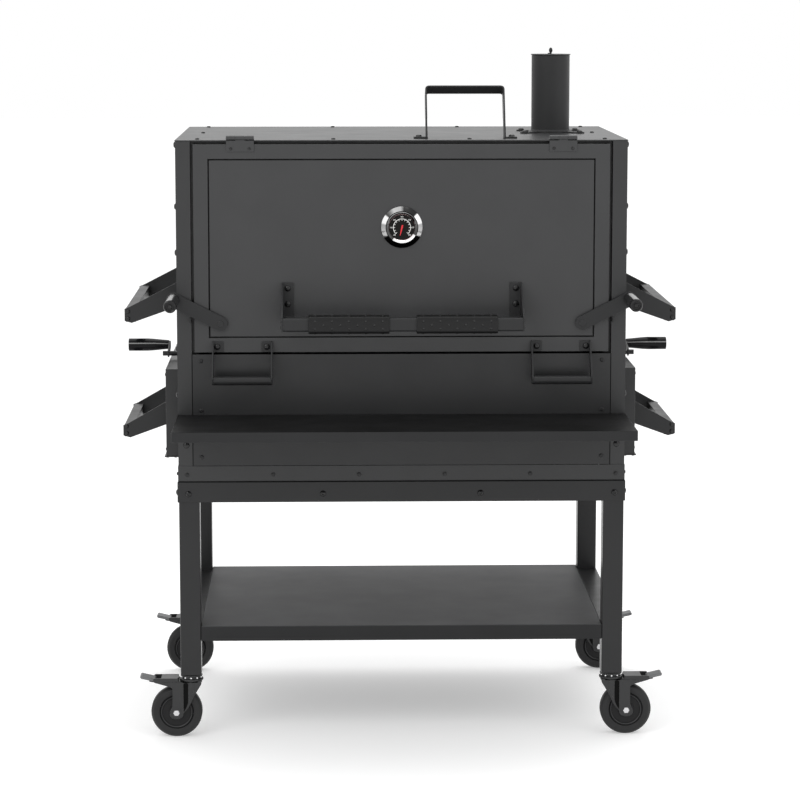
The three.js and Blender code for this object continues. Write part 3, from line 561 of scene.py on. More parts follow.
# --------------------------------------------------------------------------- mesh work
class Workpiece:
    """A mesh being made, in millimetres from the middle of the body."""

    def __init__(self, side: Side = Side.RIGHT) -> None:
        """Start an empty mesh.

        Args:
            side: LEFT mirrors a shape that is given for the right-hand side.
        """
        self.mesh = bmesh.new()
        self.side = side

    def skin(self, rings: list[list[Vector]], closed: bool = False) -> Workpiece:
        """Skin rings of points.

        Args:
            rings: Rings with as many points in each.
            closed: The last ring joins the first; otherwise both ends are capped.

        Returns:
            This workpiece.
        """
        rows = [[self.mesh.verts.new(point) for point in ring] for ring in rings]
        pairs = list(zip(rows, rows[1:])) + ([(rows[-1], rows[0])] if closed else [])
        for first, second in pairs:
            for i in range(len(first)):
                j = (i + 1) % len(first)
                self.mesh.faces.new((first[i], first[j], second[j], second[i]))
        if not closed:
            self.mesh.faces.new(rows[0])
            self.mesh.faces.new(rows[-1])
        return self

    def prism(self, outline: Outline, axis: Axis, start: float, end: float) -> Workpiece:
        """Extrude an outline.

        Args:
            outline: Its corners, (y, z) along X, (x, z) along Y or (x, y) along Z.
            axis: The direction.
            start: Where it starts.
            end: Where it ends.

        Returns:
            This workpiece.
        """
        return self.skin([[axis.point(a, b, along) for a, b in outline] for along in (start, end)])

    def block(self, low: Sequence[float], high: Sequence[float]) -> Workpiece:
        """Add a box between two corners."""
        corners = [(low[0], low[1]), (high[0], low[1]), (high[0], high[1]), (low[0], high[1])]
        return self.prism(corners, Axis.Z, low[2], high[2])

    def turned(self, profile: Outline, axis: Axis, centre: Sequence[float], segments: int = 48) -> Workpiece:
        """Turn a profile about an axis.

        Args:
            profile: Points (radius, distance along the axis); it closes on itself off the axis.
            axis: The direction of the axis.
            centre: A point of it.
            segments: How many steps round.

        Returns:
            This workpiece.
        """
        middle = Vector(centre)
        closed = all(radius > 0 for radius, _ in profile)
        steps = [2 * math.pi * k / segments for k in range(segments)]
        rings = []
        for radius, along in profile:
            r = max(radius, 0.01)
            rings.append([middle + axis.point(r * math.cos(t), r * math.sin(t), along) for t in steps])
        return self.skin(rings, closed)

    def tube(self, path: Sequence[Vector], section: Outline, across: Vector) -> Workpiece:
        """Sweep a section along a path with square-cut ends.

        Args:
            path: The points of the middle line.
            section: Its outline, first number along across, second square to it.
            across: A direction that stays square to the path.

        Returns:
            This workpiece.
        """
        wide = across.normalized()
        rings = []
        for i, point in enumerate(path):
            before = path[max(i - 1, 0)]
            after = path[min(i + 1, len(path) - 1)]
            tall = (after - before).normalized().cross(wide).normalized()
            rings.append([point + wide * a + tall * b for a, b in section])
        return self.skin(rings)

    def copy_of(self, node: str) -> Workpiece:
        """Take over a CAD node's shape, with its flat faces made whole.

        Args:
            node: The node's name.

        Returns:
            This workpiece.
        """
        source = bpy.data.objects[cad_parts[node].name].data
        self.mesh.from_mesh(source)
        for vert in self.mesh.verts:
            vert.co = vert.co / MM - MIDDLE
        bmesh.ops.remove_doubles(self.mesh, verts=self.mesh.verts, dist=0.01)
        bmesh.ops.dissolve_limit(
            self.mesh, angle_limit=math.radians(0.6), verts=self.mesh.verts, edges=self.mesh.edges
        )
        return self

    def rounded(self, width: float, segments: int = 2, sharper_than: float = 40.0) -> Workpiece:
        """Round the outer and inner edges.

        Args:
            width: The rounding in millimetres.
            segments: Steps round it.
            sharper_than: Only edges that turn by more than this many degrees are rounded.

        Returns:
            This workpiece.
        """
        bmesh.ops.recalc_face_normals(self.mesh, faces=self.mesh.faces)
        limit = math.radians(sharper_than)
        sharp = [e for e in self.mesh.edges if len(e.link_faces) == 2 and e.calc_face_angle(0) > limit]
        if sharp:
            bmesh.ops.bevel(
                self.mesh, geom=sharp, offset=width, segments=segments, profile=0.5,
                affect="EDGES", clamp_overlap=True,
            )
            bmesh.ops.dissolve_degenerate(self.mesh, edges=self.mesh.edges, dist=0.002)
        return self

    def turn(self, angle: float, axis: Axis, centre: Sequence[float]) -> Workpiece:
        """Turn everything made so far.

        Args:
            angle: Degrees, right-handed.
            axis: The direction to turn about.
            centre: A point on the axis.

        Returns:
            This workpiece.
        """
        spin = Matrix.Rotation(math.radians(angle), 4, axis.name)
        middle = Matrix.Translation(Vector(centre))
        self.mesh.transform(middle @ spin @ middle.inverted())
        return self

    def join(self, other: Workpiece) -> Workpiece:
        """Add another workpiece to this one.

        Args:
            other: The workpiece, which is used up.

        Returns:
            This workpiece.
        """
        scratch = bpy.data.meshes.new("scratch")
        other.mesh.to_mesh(scratch)
        self.mesh.from_mesh(scratch)
        other.mesh.free()
        bpy.data.meshes.remove(scratch)
        return self

    def corner_normals(self, likeness: float) -> list[Vector]:
        """Average the faces round each corner by area, so that flat faces stay flat.

        Args:
            likeness: Cosine of the largest turn that is shaded smooth.

        Returns:
            One normal for each corner of each face.
        """
        areas = {face: face.calc_area() for face in self.mesh.faces}
        normals = []
        for face in self.mesh.faces:
            for vert in face.verts:
                alike = [other for other in vert.link_faces if other.normal.dot(face.normal) > likeness]
                total = sum((other.normal * areas[other] for other in alike), Vector())
                normals.append(total.normalized() if total.length > 1e-9 else face.normal.copy())
        return normals

    def done(self, name: str, finish: Look, body: str, *replaced: str, smooth: float = 35.0) -> None:
        """Turn the workpiece into a dressed object that rides on its body.

        Args:
            name: The piece's name.
            finish: Its finish.
            body: The CAD body that it moves with.
            replaced: The CAD nodes that it stands for.
            smooth: Faces that meet at less than this many degrees are shaded smooth.
        """
        bmesh.ops.recalc_face_normals(self.mesh, faces=self.mesh.faces)
        self.mesh.transform(Matrix.Diagonal((self.side.value, 1, 1, 1)))
        if self.side is Side.LEFT:
            bmesh.ops.reverse_faces(self.mesh, faces=self.mesh.faces)
        self.mesh.transform(Matrix.Scale(MM, 4) @ Matrix.Translation(MIDDLE))
        self.mesh.normal_update()
        normals = self.corner_normals(math.cos(math.radians(smooth)))
        data = bpy.data.meshes.new(name)
        self.mesh.to_mesh(data)
        self.mesh.free()
        data.shade_smooth()
        data.normals_split_custom_set(normals)
        data.materials.append(material_of(finish))
        piece = bpy.data.objects.new(name, data)
        bpy.context.scene.collection.objects.link(piece)
        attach(piece, body)
        if replaced:
            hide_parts(*replaced)
        LOG.info("%s: %d faces on %s", name, len(data.polygons), body)


def bend(start: Vector, corner: Vector, end: Vector, steps: int) -> list[Vector]:
    """Curve round a corner.

    Args:
        start: Where the curve leaves the first side.
        corner: The corner.
        end: Where it meets the second side.
        steps: How many steps it takes.

    Returns:
        The points of the curve, both ends among them.
    """
    parts = [k / steps for k in range(steps + 1)]
    return [start * (1 - t) ** 2 + corner * (2 * t * (1 - t)) + end * t**2 for t in parts]


def round_corners(corners: Outline, radius: float, steps: int = 5) -> list[tuple[float, float]]:
    """Round the corners of an outline.

    Args:
        corners: Its corners in order.
        radius: The radius, shortened where a side is too short for it.
        steps: Points on each arc.

    Returns:
        The new outline.
    """
    points = []
    count = len(corners)
    for i in range(count):
        here = Vector(corners[i])
        back = Vector(corners[i - 1]) - here
        ahead = Vector(corners[(i + 1) % count]) - here
        reach = min(radius, back.length * 0.45, ahead.length * 0.45)
        start = here + back.normalized() * reach
        end = here + ahead.normalized() * reach
        points += [tuple(point) for point in bend(start, here, end, steps)]
    return points


def rectangle(width: float, height: float, radius: float, steps: int) -> list[tuple[float, float]]:
    """A rounded rectangle about the origin."""
    w, h = width / 2, height / 2
    return round_corners([(-w, -h), (w, -h), (w, h), (-w, h)], radius, steps)


class Head(Enum):
    """Kinds of fastener head: profile points (radius, height) in units of the head's radius."""

    DOMED = ((1.0, 0.0), (1.0, 0.12), (0.93, 0.3), (0.75, 0.47), (0.45, 0.58), (0.0, 0.62))
    PAN = ((1.0, 0.0), (1.0, 0.3), (0.9, 0.5), (0.6, 0.6), (0.0, 0.62))
    FLUSH = ((1.0, 0.0), (1.0, 0.07), (0.9, 0.1), (0.86, 0.02), (0.74, 0.02), (0.7, 0.1), (0.0, 0.12))
    FLANGED = ((1.0, 0.0), (1.0, 0.15), (0.85, 0.22), (0.0, 0.24))


@dataclass(frozen=True)
class Fastener:
    """One kind of screw or bolt head."""

    head: Head
    radius: float
    hexagon: bool = False
    recess: bool = False

    def add(self, piece: Workpiece, place: Sequence[float], axis: Axis, sense: int) -> None:
        """Set one head on a surface.

        Args:
            piece: The workpiece that collects the heads.
            place: The point on the surface.
            axis: The direction of the screw.
            sense: 1 if the head faces the positive way, else -1.
        """
        r = self.radius
        profile = [(0.0, -0.3)] + [(a * r, b * r) for a, b in self.head.value]
        if self.recess:
            top = profile[-1][1]
            profile = profile[:-1] + [(0.42 * r, top), (0.36 * r, top - 0.3 * r), (0.0, top - 0.34 * r)]
        piece.turned([(a, b * sense) for a, b in profile], axis, place, 24)
        if self.hexagon:
            nut = ((0.0, 0.1), (0.72, 0.1), (0.72, 0.62), (0.62, 0.72), (0.0, 0.72))
            piece.turned([(a * r, b * r * sense) for a, b in nut], axis, place, 6)


CARRIAGE_BOLT = Fastener(Head.DOMED, 6.2)
HEX_SCREW = Fastener(Head.FLANGED, 4.6, hexagon=True)
PANEL_SCREW = Fastener(Head.PAN, 4.2, recess=True)
SMALL_SCREW = Fastener(Head.PAN, 3.0, recess=True)
BASE_BOLT = Fastener(Head.DOMED, 6.2, recess=True)
FLAT_BOLT = Fastener(Head.FLUSH, 6.2)
ARM_BOLT = Fastener(Head.DOMED, 4.2)
LIP_SCREW = Fastener(Head.DOMED, 3.6)


def fasten(
    name: str,
    body: str,
    kind: Fastener,
    places: Sequence[Point],
    axis: Axis,
    sense: int,
    finish: Finish = BOLT,
) -> None:
    """Set a row of like fasteners.

    Args:
        name: The row's name.
        body: The CAD body that they sit on.
        kind: The fastener.
        places: A point on the surface for each.
        axis: The direction of the screws.
        sense: The way that the heads face along it.
        finish: Their finish.
    """
    piece = Workpiece()
    for place in places:
        kind.add(piece, place, axis, sense)
    piece.done(name, finish, body)


def mirrored(*places: Point) -> list[Point]:
    """The places and their mirror images left and right."""
    return [(s * x, y, z) for s in (1, -1) for x, y, z in places]


# --------------------------------------------------------------------------- the cart
@dataclass
class Cart:
    """Leg frames, base rail and bottom shelf."""

    front_bolts: Sequence[float] = (421.0, 155.5)
    side_bolts: Sequence[float] = (-280.0, -95.0, 95.0, 280.0)
    bolt_height: float = 494.0

    def build(self) -> None:
        """Make the welded frames and their bolts."""
        # the leg frames take the darkest copy of the coat as painted shade
        frames = (
            ("left_leg_frame", "tubes", COAT_DEEP_SHADE, 1.3), ("right_leg_frame", "tubes", COAT_DEEP_SHADE, 1.3),
            ("bottom_shelf", "pan", PAN, 1.6),
        )
        for node, part, finish, edge in frames:
            Workpiece().copy_of(node).rounded(edge, 3).done(f"{node}_{part}", finish, "body", node)
        node = "base_rail_frame"
        Workpiece().copy_of(node).rounded(1.0, 3).done("base_rail_angle", COAT_DEEP_SHADE, "body", node)
        rail = Span.of(node)
        ends = (("front", rail.low.y, -1, BASE_BOLT), ("rear", rail.high.y, 1, FLAT_BOLT))
        for word, y, sense, bolt in ends:
            places = mirrored(*[(x, y, self.bolt_height) for x in self.front_bolts])
            fasten(f"base_bolts_{word}", "body", bolt, places, Axis.Y, sense)
        for side in Side:
            x = side.value * rail.high.x
            places = [(x, y, self.bolt_height) for y in self.side_bolts]
            fasten(f"base_bolts_{side.word}", "body", BASE_BOLT, places, Axis.X, side.value)


@dataclass
class Caster:
    """One swivel caster with its wheel and brake."""

    name: str
    side: Side
    crown: float = 115.0
    race: float = 19.6
    balls: int = 10
    ridges: int = 4

    @property
    def wheel(self) -> Span:
        """The wheel's box."""
        return Span.of(f"{self.name}_caster_tyre")

    @property
    def hub(self) -> Vector:
        """The middle of the axle, mirrored to the right-hand side."""
        centre = self.wheel.centre
        return Vector((abs(centre.x), centre.y, centre.z))

    @property
    def stem(self) -> Vector:
        """The foot of the swivel's axis, mirrored to the right-hand side."""
        return Vector((abs(Span.of(f"{self.side.word}_leg_frame").centre.x), self.hub.y, 0.0))

    def build(self) -> None:
        """Make the fork, the wheel and the pedal in turn."""
        self.fork_plates()
        self.race_balls()
        self.axle_bolt()
        self.wheel_parts()
        self.brake()

    def cheek(self, corners: Outline, near: float, far: float) -> Workpiece:
        """Cut the two like cheeks of the fork.

        Args:
            corners: Their outline, outwards from the wheel's axle and up from the floor.
            near: Inner face from the wheel's middle plane.
            far: Outer face.

        Returns:
            Both cheeks.
        """
        hub = self.hub
        piece = Workpiece(self.side)
        shape = round_corners([(hub.x + a, z) for a, z in corners], 5)
        for sense in (-1, 1):
            piece.prism(shape, Axis.Y, *sorted((hub.y + sense * near, hub.y + sense * far)))
        return piece

    def fork_plates(self) -> None:
        """Two pressed cheeks under a crown, a brake housing, a race, and a groove in each cheek with a dark
        strip in it as painted shade.
        """
        body, node = f"{self.name}_swivel", f"{self.name}_caster_fork"
        x, y, top = self.stem.x, self.stem.y, self.crown
        outline = ((-50, top), (-50, 109), (-36, 86), (-24, 61), (-14, 50), (-12, 41), (0, 37), (12, 41),
                   (14, 51), (8, 63), (7.5, 100), (13, 103.5), (46, 113), (46, 121), (-4, 121), (-4, top))
        piece = self.cheek(outline, 17.5, 20)
        raised = ((-14, 114), (-14, 50), (-11, 42), (0, 38), (11, 42), (12.5, 51), (8, 62), (7.5, 101),
                  (12, 106), (30, 112))
        piece.join(self.cheek(raised, 19.8, 21.5))
        flange = ((-34, 113), (-34, 90), (-25, 74), (-24, 113))
        piece.join(self.cheek(flange, 19.8, 21.0))
        plate = [(x - 21, y - 20), (x + 30, y - 20), (x + 30, y + 20), (x - 21, y + 20)]
        piece.prism(round_corners(plate, 8), Axis.Z, top - 3, top)
        piece.block((self.hub.x - 4, y - 18, 118.6), (self.hub.x + 30, y + 18, 121.0))
        piece.rounded(0.7, 2)
        race = [(0, top - 1), (22, top - 1), (23.5, top + 0.5), (23.5, top + 3), (21, top + 4.6),
                (19.5, top + 5), (19.5, top + 7), (21, top + 7.4), (22, top + 8.5), (21.5, top + 10.5),
                (18.5, top + 11.7), (6, top + 11.8), (6, top + 41), (0, top + 42)]
        piece.turned(race, Axis.Z, self.stem, 48)
        piece.done(f"{self.name}_fork_pressing", FORK, body, node)
        # painted shade: a dark strip in each cheek's groove
        groove = ((-23.6, 112), (-23.3, 70), (-18, 58), (-14.4, 53), (-14.4, 112))
        self.cheek(groove, 19.9, 20.4).done(f"{self.name}_fork_groove", PAINTED_SHADE, body)

    def race_balls(self) -> None:
        """The bright balls that show in the race's gap."""
        piece = Workpiece(self.side)
        arc = [math.pi * k / 8 for k in range(9)]
        ball = [(2.2 * math.sin(t), -2.2 * math.cos(t)) for t in arc]
        for k in range(self.balls):
            angle = 2 * math.pi * (k + 0.5) / self.balls
            place = self.stem + Vector((math.cos(angle), math.sin(angle), 0)) * self.race
            place.z = self.crown + 6
            piece.turned(ball, Axis.Z, place, 12)
        piece.done(f"{self.name}_race_balls", BALL, f"{self.name}_swivel")

    def axle_bolt(self) -> None:
        """A bright nut on a dark washer at each end of the axle."""
        washer, nut = Workpiece(self.side), Workpiece(self.side)
        for sense in (-1, 1):
            place = self.hub + Vector((0, sense * 21.3, 0))
            ring = [(0.0, -0.5), (8.4, -0.5), (8.4, 0.5), (8.0, 0.9), (0.0, 0.9)]
            washer.turned([(r, sense * a) for r, a in ring], Axis.Y, place, 40)
            head = [(0.0, 0.8), (6.4, 0.8), (6.4, 2.4), (5.4, 3.3), (0.0, 3.4)]
            nut.turned([(r, sense * a) for r, a in head], Axis.Y, place, 6)
        washer.done(f"{self.name}_axle_washer", FORK, f"{self.name}_swivel")
        nut.done(f"{self.name}_axle_nut", ZINC, f"{self.name}_swivel")

    def wheel_parts(self) -> None:
        """A round-shouldered tyre on a dished core, with a lighter ring on each face of the core as a painted
        highlight.
        """
        body, tyre_node = f"{self.name}_wheel", f"{self.name}_caster_tyre"
        r, half = self.wheel.size.z / 2, self.wheel.size.y / 2
        flank = [(33.4, -half + 3.2), (34.5, -half + 2), (38, -half + 1.4), (43, -half), (46, -half + 0.6)]
        shoulder = [(r - 8 + 8 * math.sin(t), -half + 9 - 8 * math.cos(t)) for t in (0.6, 0.9, 1.2, 1.4)]
        near = flank + shoulder + [(r - 0.25, -2.5), (r, -1.0)]
        profile = near + [(a, -b) for a, b in reversed(near)]
        tyre = Workpiece(self.side).turned(profile, Axis.Y, self.hub, 72)
        tyre.done(f"{self.name}_tyre_ring", TYRE, body, tyre_node)
        near = [(4.4, -half - 1.5), (13.2, -half - 1.5), (15.0, -half - 0.9), (15.6, -half + 0.2),
                (15.9, -half + 3.0), (17.2, -half + 3.8), (27.6, -half + 3.8), (28.8, -half + 3.0),
                (29.6, -half + 1.0), (30.4, -half + 0.5), (31.6, -half + 0.6), (32.4, -half + 1.4),
                (33.2, -half + 2.8)]
        profile = near + [(a, -b) for a, b in reversed(near)]
        core = Workpiece(self.side).turned(profile, Axis.Y, self.hub, 72)
        core.done(f"{self.name}_core_moulding", CORE, body, f"{self.name}_caster_wheel_core")
        # painted highlight: the ridge rings take a lighter copy of the core's plastic
        rim = Workpiece(self.side)
        ring = [(28.9, half - 2.4), (29.3, half - 0.8), (30.6, half - 0.1), (31.0, half - 0.9),
                (30.6, half - 2.4)]
        for sense in (-1, 1):
            rim.turned([(a, sense * b) for a, b in ring], Axis.Y, self.hub, 72)
        rim.done(f"{self.name}_core_rim", CORE_RIM_HIGHLIGHT, body)

    def brake(self) -> None:
        """A lever in the housing with a rounded plastic tread that sticks out of it."""
        body, node = f"{self.name}_brake", f"{self.name}_caster_brake_pedal"
        pedal = Span.of(node)
        x, y, z = self.stem.x + 44, self.stem.y, self.crown - 5
        tip = max(abs(pedal.low.x), abs(pedal.high.x))
        arm = round_corners([(x - 6, z - 5), (x + 10, z - 1), (x + 30, z + 1.5), (x + 40, z + 3),
                             (x + 40, z + 8), (x + 20, z + 4.5), (x - 6, z + 4.5)], 1.6)
        lever = Workpiece(self.side).prism(arm, Axis.Y, y - 13, y + 13).rounded(0.8, 2)
        boss = [(0, -16), (5.2, -16), (6, -15.2), (6, 15.2), (5.2, 16), (0, 16)]
        lever.turned(boss, Axis.Y, (x, y, z), 32)
        lever.done(f"{self.name}_pedal_arm", CORE, body, node)
        shape = round_corners([(x + 27, z + 3.0), (tip - 2, z + 9.4), (tip, z + 13.0), (tip - 3, z + 15.6),
                               (x + 27, z + 8.8)], 2.6)
        tread = Workpiece(self.side).prism(shape, Axis.Y, y - 15, y + 15).rounded(1.6, 3)
        for k in range(self.ridges):
            start = x + 35 + 4.8 * k
            rise = z + 10.2 + (start - x - 34) * 0.2
            ridge = Workpiece(self.side).block((start, y - 11, rise - 1), (start + 1.8, y + 11, rise + 0.7))
            tread.join(ridge.rounded(0.4))
        tread.done(f"{self.name}_pedal_tread", PEDAL, body)


# --------------------------------------------------------------------------- the body
@dataclass
class Cabinet:
    """Posts, panels, roof and front shelf."""

    skirt_height: float = 532.0
    skirt_screws: Sequence[float] = (84.5, 253.5, 423.0)
    skirt_side_screws: Sequence[float] = (-283.0, -95.0, 95.0, 283.0)
    skirt_side: float = 441.0
    roof_screws: Sequence[float] = (133.0, 398.0)
    panel_screw: float = 394.0
    panel_heights: Sequence[float] = (758.0, 660.0, 567.0)
    post_bolt: Point = (424.0, POST_FRONT, 591.0)
    post_side: float = 440.0
    post_heights: Sequence[float] = (1180.0, 1060.0, 970.0, 780.0, 690.0)
    back_face: float = 297.4

    def build(self) -> None:
        """Make the shell and its screws."""
        # the front panel and the shell frame take darker copies of the charcoal coat as painted shade
        panels = {
            "body_frame": (COAT_FRAME_SHADE, 0.7), "back_panel": (COAT, 0.5), "side_panel_left": (COAT, 0.5),
            "side_panel_right": (COAT, 0.5), "front_panel": (COAT_SHADED, 0.9), "floor_pan": (SOOT, 0.6),
            "front_shelf": (SHELF, 1.5), "roof": (ROOF, 0.7),
        }
        for node, (finish, edge) in panels.items():
            Workpiece().copy_of(node).rounded(edge, 2).done(f"{node}_sheet", finish, "body", node)
        self.seams()
        self.screws()

    def seams(self) -> None:
        """Painted shade: dark strips in the gaps under the foot angle and beside the front panel."""
        shell, panel = Span.of("body_frame"), Span.of("front_panel")
        piece = Workpiece().block((shell.low.x, FOOT_FRONT - 1.4, shell.low.z),
                                  (shell.high.x, FOOT_FRONT, shell.low.z + 1.3))
        for x in (panel.low.x, panel.high.x):
            piece.block((x - 0.8, POST_FRONT - 0.35, panel.low.z), (x + 0.8, POST_FRONT + 1, panel.high.z))
        piece.done("front_seams", PAINTED_SHADE, "body")

    def screws(self) -> None:
        """Set the screws of the foot angle, the posts, the panels and the roof."""
        rear = Span.of("body_frame").high.y
        for word, y, sense, finish in (("front", FOOT_FRONT, -1, COAT_DEEP_SHADE), ("rear", rear, 1, BOLT)):
            row = mirrored(*[(x, y, self.skirt_height) for x in self.skirt_screws])
            fasten(f"skirt_screws_{word}", "body", HEX_SCREW, row, Axis.Y, sense, finish)
        fasten("post_bolts", "body", CARRIAGE_BOLT, mirrored(self.post_bolt), Axis.Y, -1)
        front = mirrored(*[(self.panel_screw, POST_FRONT, z) for z in self.panel_heights])
        fasten("panel_screws", "body", PANEL_SCREW, front, Axis.Y, -1, COAT_DEEP_SHADE)
        top = Span.of("roof").high.z
        spots = [(x, y, top) for x in self.roof_screws for y in (-268, 268)]
        spots.append((self.roof_screws[-1], 0.0, top))
        fasten("roof_screws", "body", PANEL_SCREW, mirrored(*spots), Axis.Z, 1)
        for side in Side:
            self.side_screws(side)
        back = mirrored(*[(x, self.back_face, z) for x in self.roof_screws for z in (575, 1165)])
        fasten("back_screws", "body", PANEL_SCREW, back, Axis.Y, 1)

    def side_screws(self, side: Side) -> None:
        """Set the bolts of the posts and the screws of the foot angle on one side.

        Args:
            side: Which of the two sides.
        """
        x = side.value * self.post_side
        row = [(x, y, z) for y in (-286, 286) for z in self.post_heights]
        fasten(f"side_post_bolts_{side.word}", "body", CARRIAGE_BOLT, row, Axis.X, side.value)
        row = [(side.value * self.skirt_side, y, self.skirt_height) for y in self.skirt_side_screws]
        fasten(f"skirt_screws_{side.word}", "body", HEX_SCREW, row, Axis.X, side.value)


# --------------------------------------------------------------------------- the door
@dataclass
class Door:
    """The lifting door with everything on it."""

    bar: float = 27.0
    bar_half: float = 231.2
    sleeve: float = 156.0
    sleeve_centre: float = 104.4
    sleeve_width: float = 35.0
    sleeve_bore: float = 27.8
    dimple_pitch: float = 32.6
    dimple_rise: float = 7.2
    groove: float = 30.1

    def build(self) -> None:
        """Make the door leaf, hinges, handle, dial, pull handles and latches."""
        self.leaf()
        self.hinges()
        self.handle()
        Dial().build()
        for side in Side:
            self.pull_handle(side)
            Latch(side).build()

    def leaf(self) -> None:
        """A folded pan with a groove pressed round its sunk panel, and a dark strip in the groove as painted
        shade.
        """
        span = Span.of("door")
        face, back = span.low.y, span.high.y
        rings = ((31.5, face + 1.4), (30.8, face + 2.7), (29.4, face + 2.7), (28.6, face + 0.5), (28.0, face),
                 (1.5, face), (0.6, face + 0.2), (0.2, face + 0.6), (0.0, face + 1.5), (0.0, back - 0.3),
                 (0.3, back), (1.7, back), (2.0, back - 0.3), (2.0, face + 3.2))
        loops = []
        for inset, y in rings:
            x, low, high = span.high.x - inset, span.low.z + inset, span.high.z - inset
            loops.append([Vector((a, y, b)) for a, b in ((-x, low), (x, low), (x, high), (-x, high))])
        Workpiece().skin(loops).done("door_pan", COAT, "door", "door", smooth=25)
        # painted shade: dark strips along the groove
        groove_shade = Workpiece()
        x, low, high = span.high.x - self.groove, span.low.z + self.groove, span.high.z - self.groove
        sides = ((-x, x, low, low), (-x, x, high, high), (-x, -x, low, high), (x, x, low, high))
        for left, right, foot, head in sides:
            groove_shade.block((left - 0.85, face + 1.15, foot - 0.85), (right + 0.85, face + 1.8, head + 0.85))
        groove_shade.done("door_seam", PAINTED_SHADE, "door")

    def hinges(self) -> None:
        """Knuckled hinge leaves with two screws in each."""
        for side in Side:
            word = side.word
            for part, body in (("roof", "body"), ("door", "door")):
                node = f"hinge_{part}_leaf_{word}"
                Workpiece().copy_of(node).rounded(0.4, 2).done(f"{node}_plate", COAT, body, node)
            roof_leaf = Span.of(f"hinge_roof_leaf_{word}")
            middle = Span.of(f"hinge_door_leaf_{word}").centre.x
            low = [(x, -304.3, 1173.0) for x in (middle - 18, middle + 18)]
            fasten(f"hinge_door_screws_{word}", "door", SMALL_SCREW, low, Axis.Y, -1)
            top = [(x, roof_leaf.high.y - 9, 1191.8) for x in (middle - 18, middle + 18)]
            fasten(f"hinge_roof_screws_{word}", "body", SMALL_SCREW, top, Axis.Z, 1)

    def handle(self) -> None:
        """A square bar on two plate brackets, with two dimpled sleeves."""
        span = Span.of("handle_bar")
        y, z = span.centre.y, span.centre.z
        section = [(y + a, z + b) for a, b in rectangle(self.bar, self.bar, 6.5, 6)]
        bar = Workpiece().prism(section, Axis.X, -self.bar_half, self.bar_half).rounded(0.5, 2, 60)
        bar.done("handle_bar_tube", BLACK, "door", "handle_bar")
        for side in Side:
            word = side.word
            node = f"handle_bracket_{word}"
            Workpiece().copy_of(node).rounded(0.7, 2).done(f"{node}_plate", BLACK, "door", node)
            face = Span.of(node).high.y - 3
            bolts = [(side.value * 223, face, height) for height in (901, 870)]
            fasten(f"handle_bolts_{word}", "door", CARRIAGE_BOLT, bolts, Axis.Y, -1)
            ends = [(side.value * 234.5, y, height) for height in (z - 6, z + 6)]
            fasten(f"bar_end_screws_{word}", "door", SMALL_SCREW, ends, Axis.X, side.value)
            self.grip_sleeve(side, y, z)
            self.dimples(side, y, z)

    def grip_sleeve(self, side: Side, y: float, z: float) -> None:
        """A rolled sleeve round the bar.

        Args:
            side: Which of the two sleeves.
            y: The bar's middle line.
            z: Its height.
        """
        start, end = self.sleeve_centre - self.sleeve / 2, self.sleeve_centre + self.sleeve / 2
        outer = rectangle(self.sleeve_width, self.sleeve_width, 11, 8)
        inner = rectangle(self.sleeve_bore, self.sleeve_bore, 6.6, 8)
        rings = [[Axis.X.point(y + a, z + b, along) for a, b in line]
                 for line, along in ((outer, start), (outer, end), (inner, end), (inner, start))]
        piece = Workpiece(side).skin(rings, closed=True).rounded(0.8, 2, 60)
        piece.done(f"handle_sleeve_tube_{side.word}", SLEEVE, "door", f"handle_sleeve_{side.word}")

    def dimples(self, side: Side, y: float, z: float) -> None:
        """Staggered dimples on the four faces of a sleeve.

        Args:
            side: Which of the two sleeves.
            y: The bar's middle line.
            z: Its height.
        """
        piece = Workpiece(side)
        rim = [(0.0, 0.9), (0.9, 0.85), (1.7, 0.55), (2.2, 0.0), (2.3, -0.4), (0.0, -0.4)]
        for axis, sense in ((Axis.Y, -1), (Axis.Z, 1), (Axis.Z, -1), (Axis.Y, 1)):
            profile = [(r, a * sense) for r, a in rim]
            reach = sense * (self.sleeve_width / 2 + 0.05)
            for row, count in ((-1, 5), (0, 4), (1, 5)):
                off = row * self.dimple_rise
                for k in range(count):
                    x = self.sleeve_centre + (k - (count - 1) / 2) * self.dimple_pitch
                    place = (x, y + reach, z + off) if axis is Axis.Y else (x, y + off, z + reach)
                    piece.turned(profile, axis, place, 12)
        piece.done(f"handle_sleeve_dimples_{side.word}", BOLT, "door")

    def pull_handle(self, side: Side) -> None:
        """A round bar hung from two plate arms.

        Args:
            side: Which of the two handles.
        """
        node = f"pull_handle_{side.word}"
        face = Span.of(node).high.y
        piece = Workpiece(side)
        arm = round_corners([(face, 797), (face, 776), (face - 28, 716), (face - 46, 716), (face - 50, 732),
                             (face - 8, 797)], 5)
        for low, high in ((253, 256), (368, 371)):
            piece.prism(arm, Axis.X, low, high)
        for low, high in ((253, 275), (349, 371)):
            tab = round_corners([(low, 776), (high, 776), (high, 797), (low, 797)], 3)
            piece.prism(tab, Axis.Y, face - 2.5, face)
        piece.rounded(0.5, 2)
        piece.turned([(0, 254), (8.5, 254), (8.5, 370), (0, 370)], Axis.X, (0, face - 39, 724), 40)
        piece.done(f"pull_handle_bar_{side.word}", BLACK, "door", node)
        bolts = [(side.value * x, face - 2.5, 786.5) for x in (264.5, 361.3)]
        fasten(f"pull_handle_bolts_{side.word}", "door", CARRIAGE_BOLT, bolts, Axis.Y, -1)


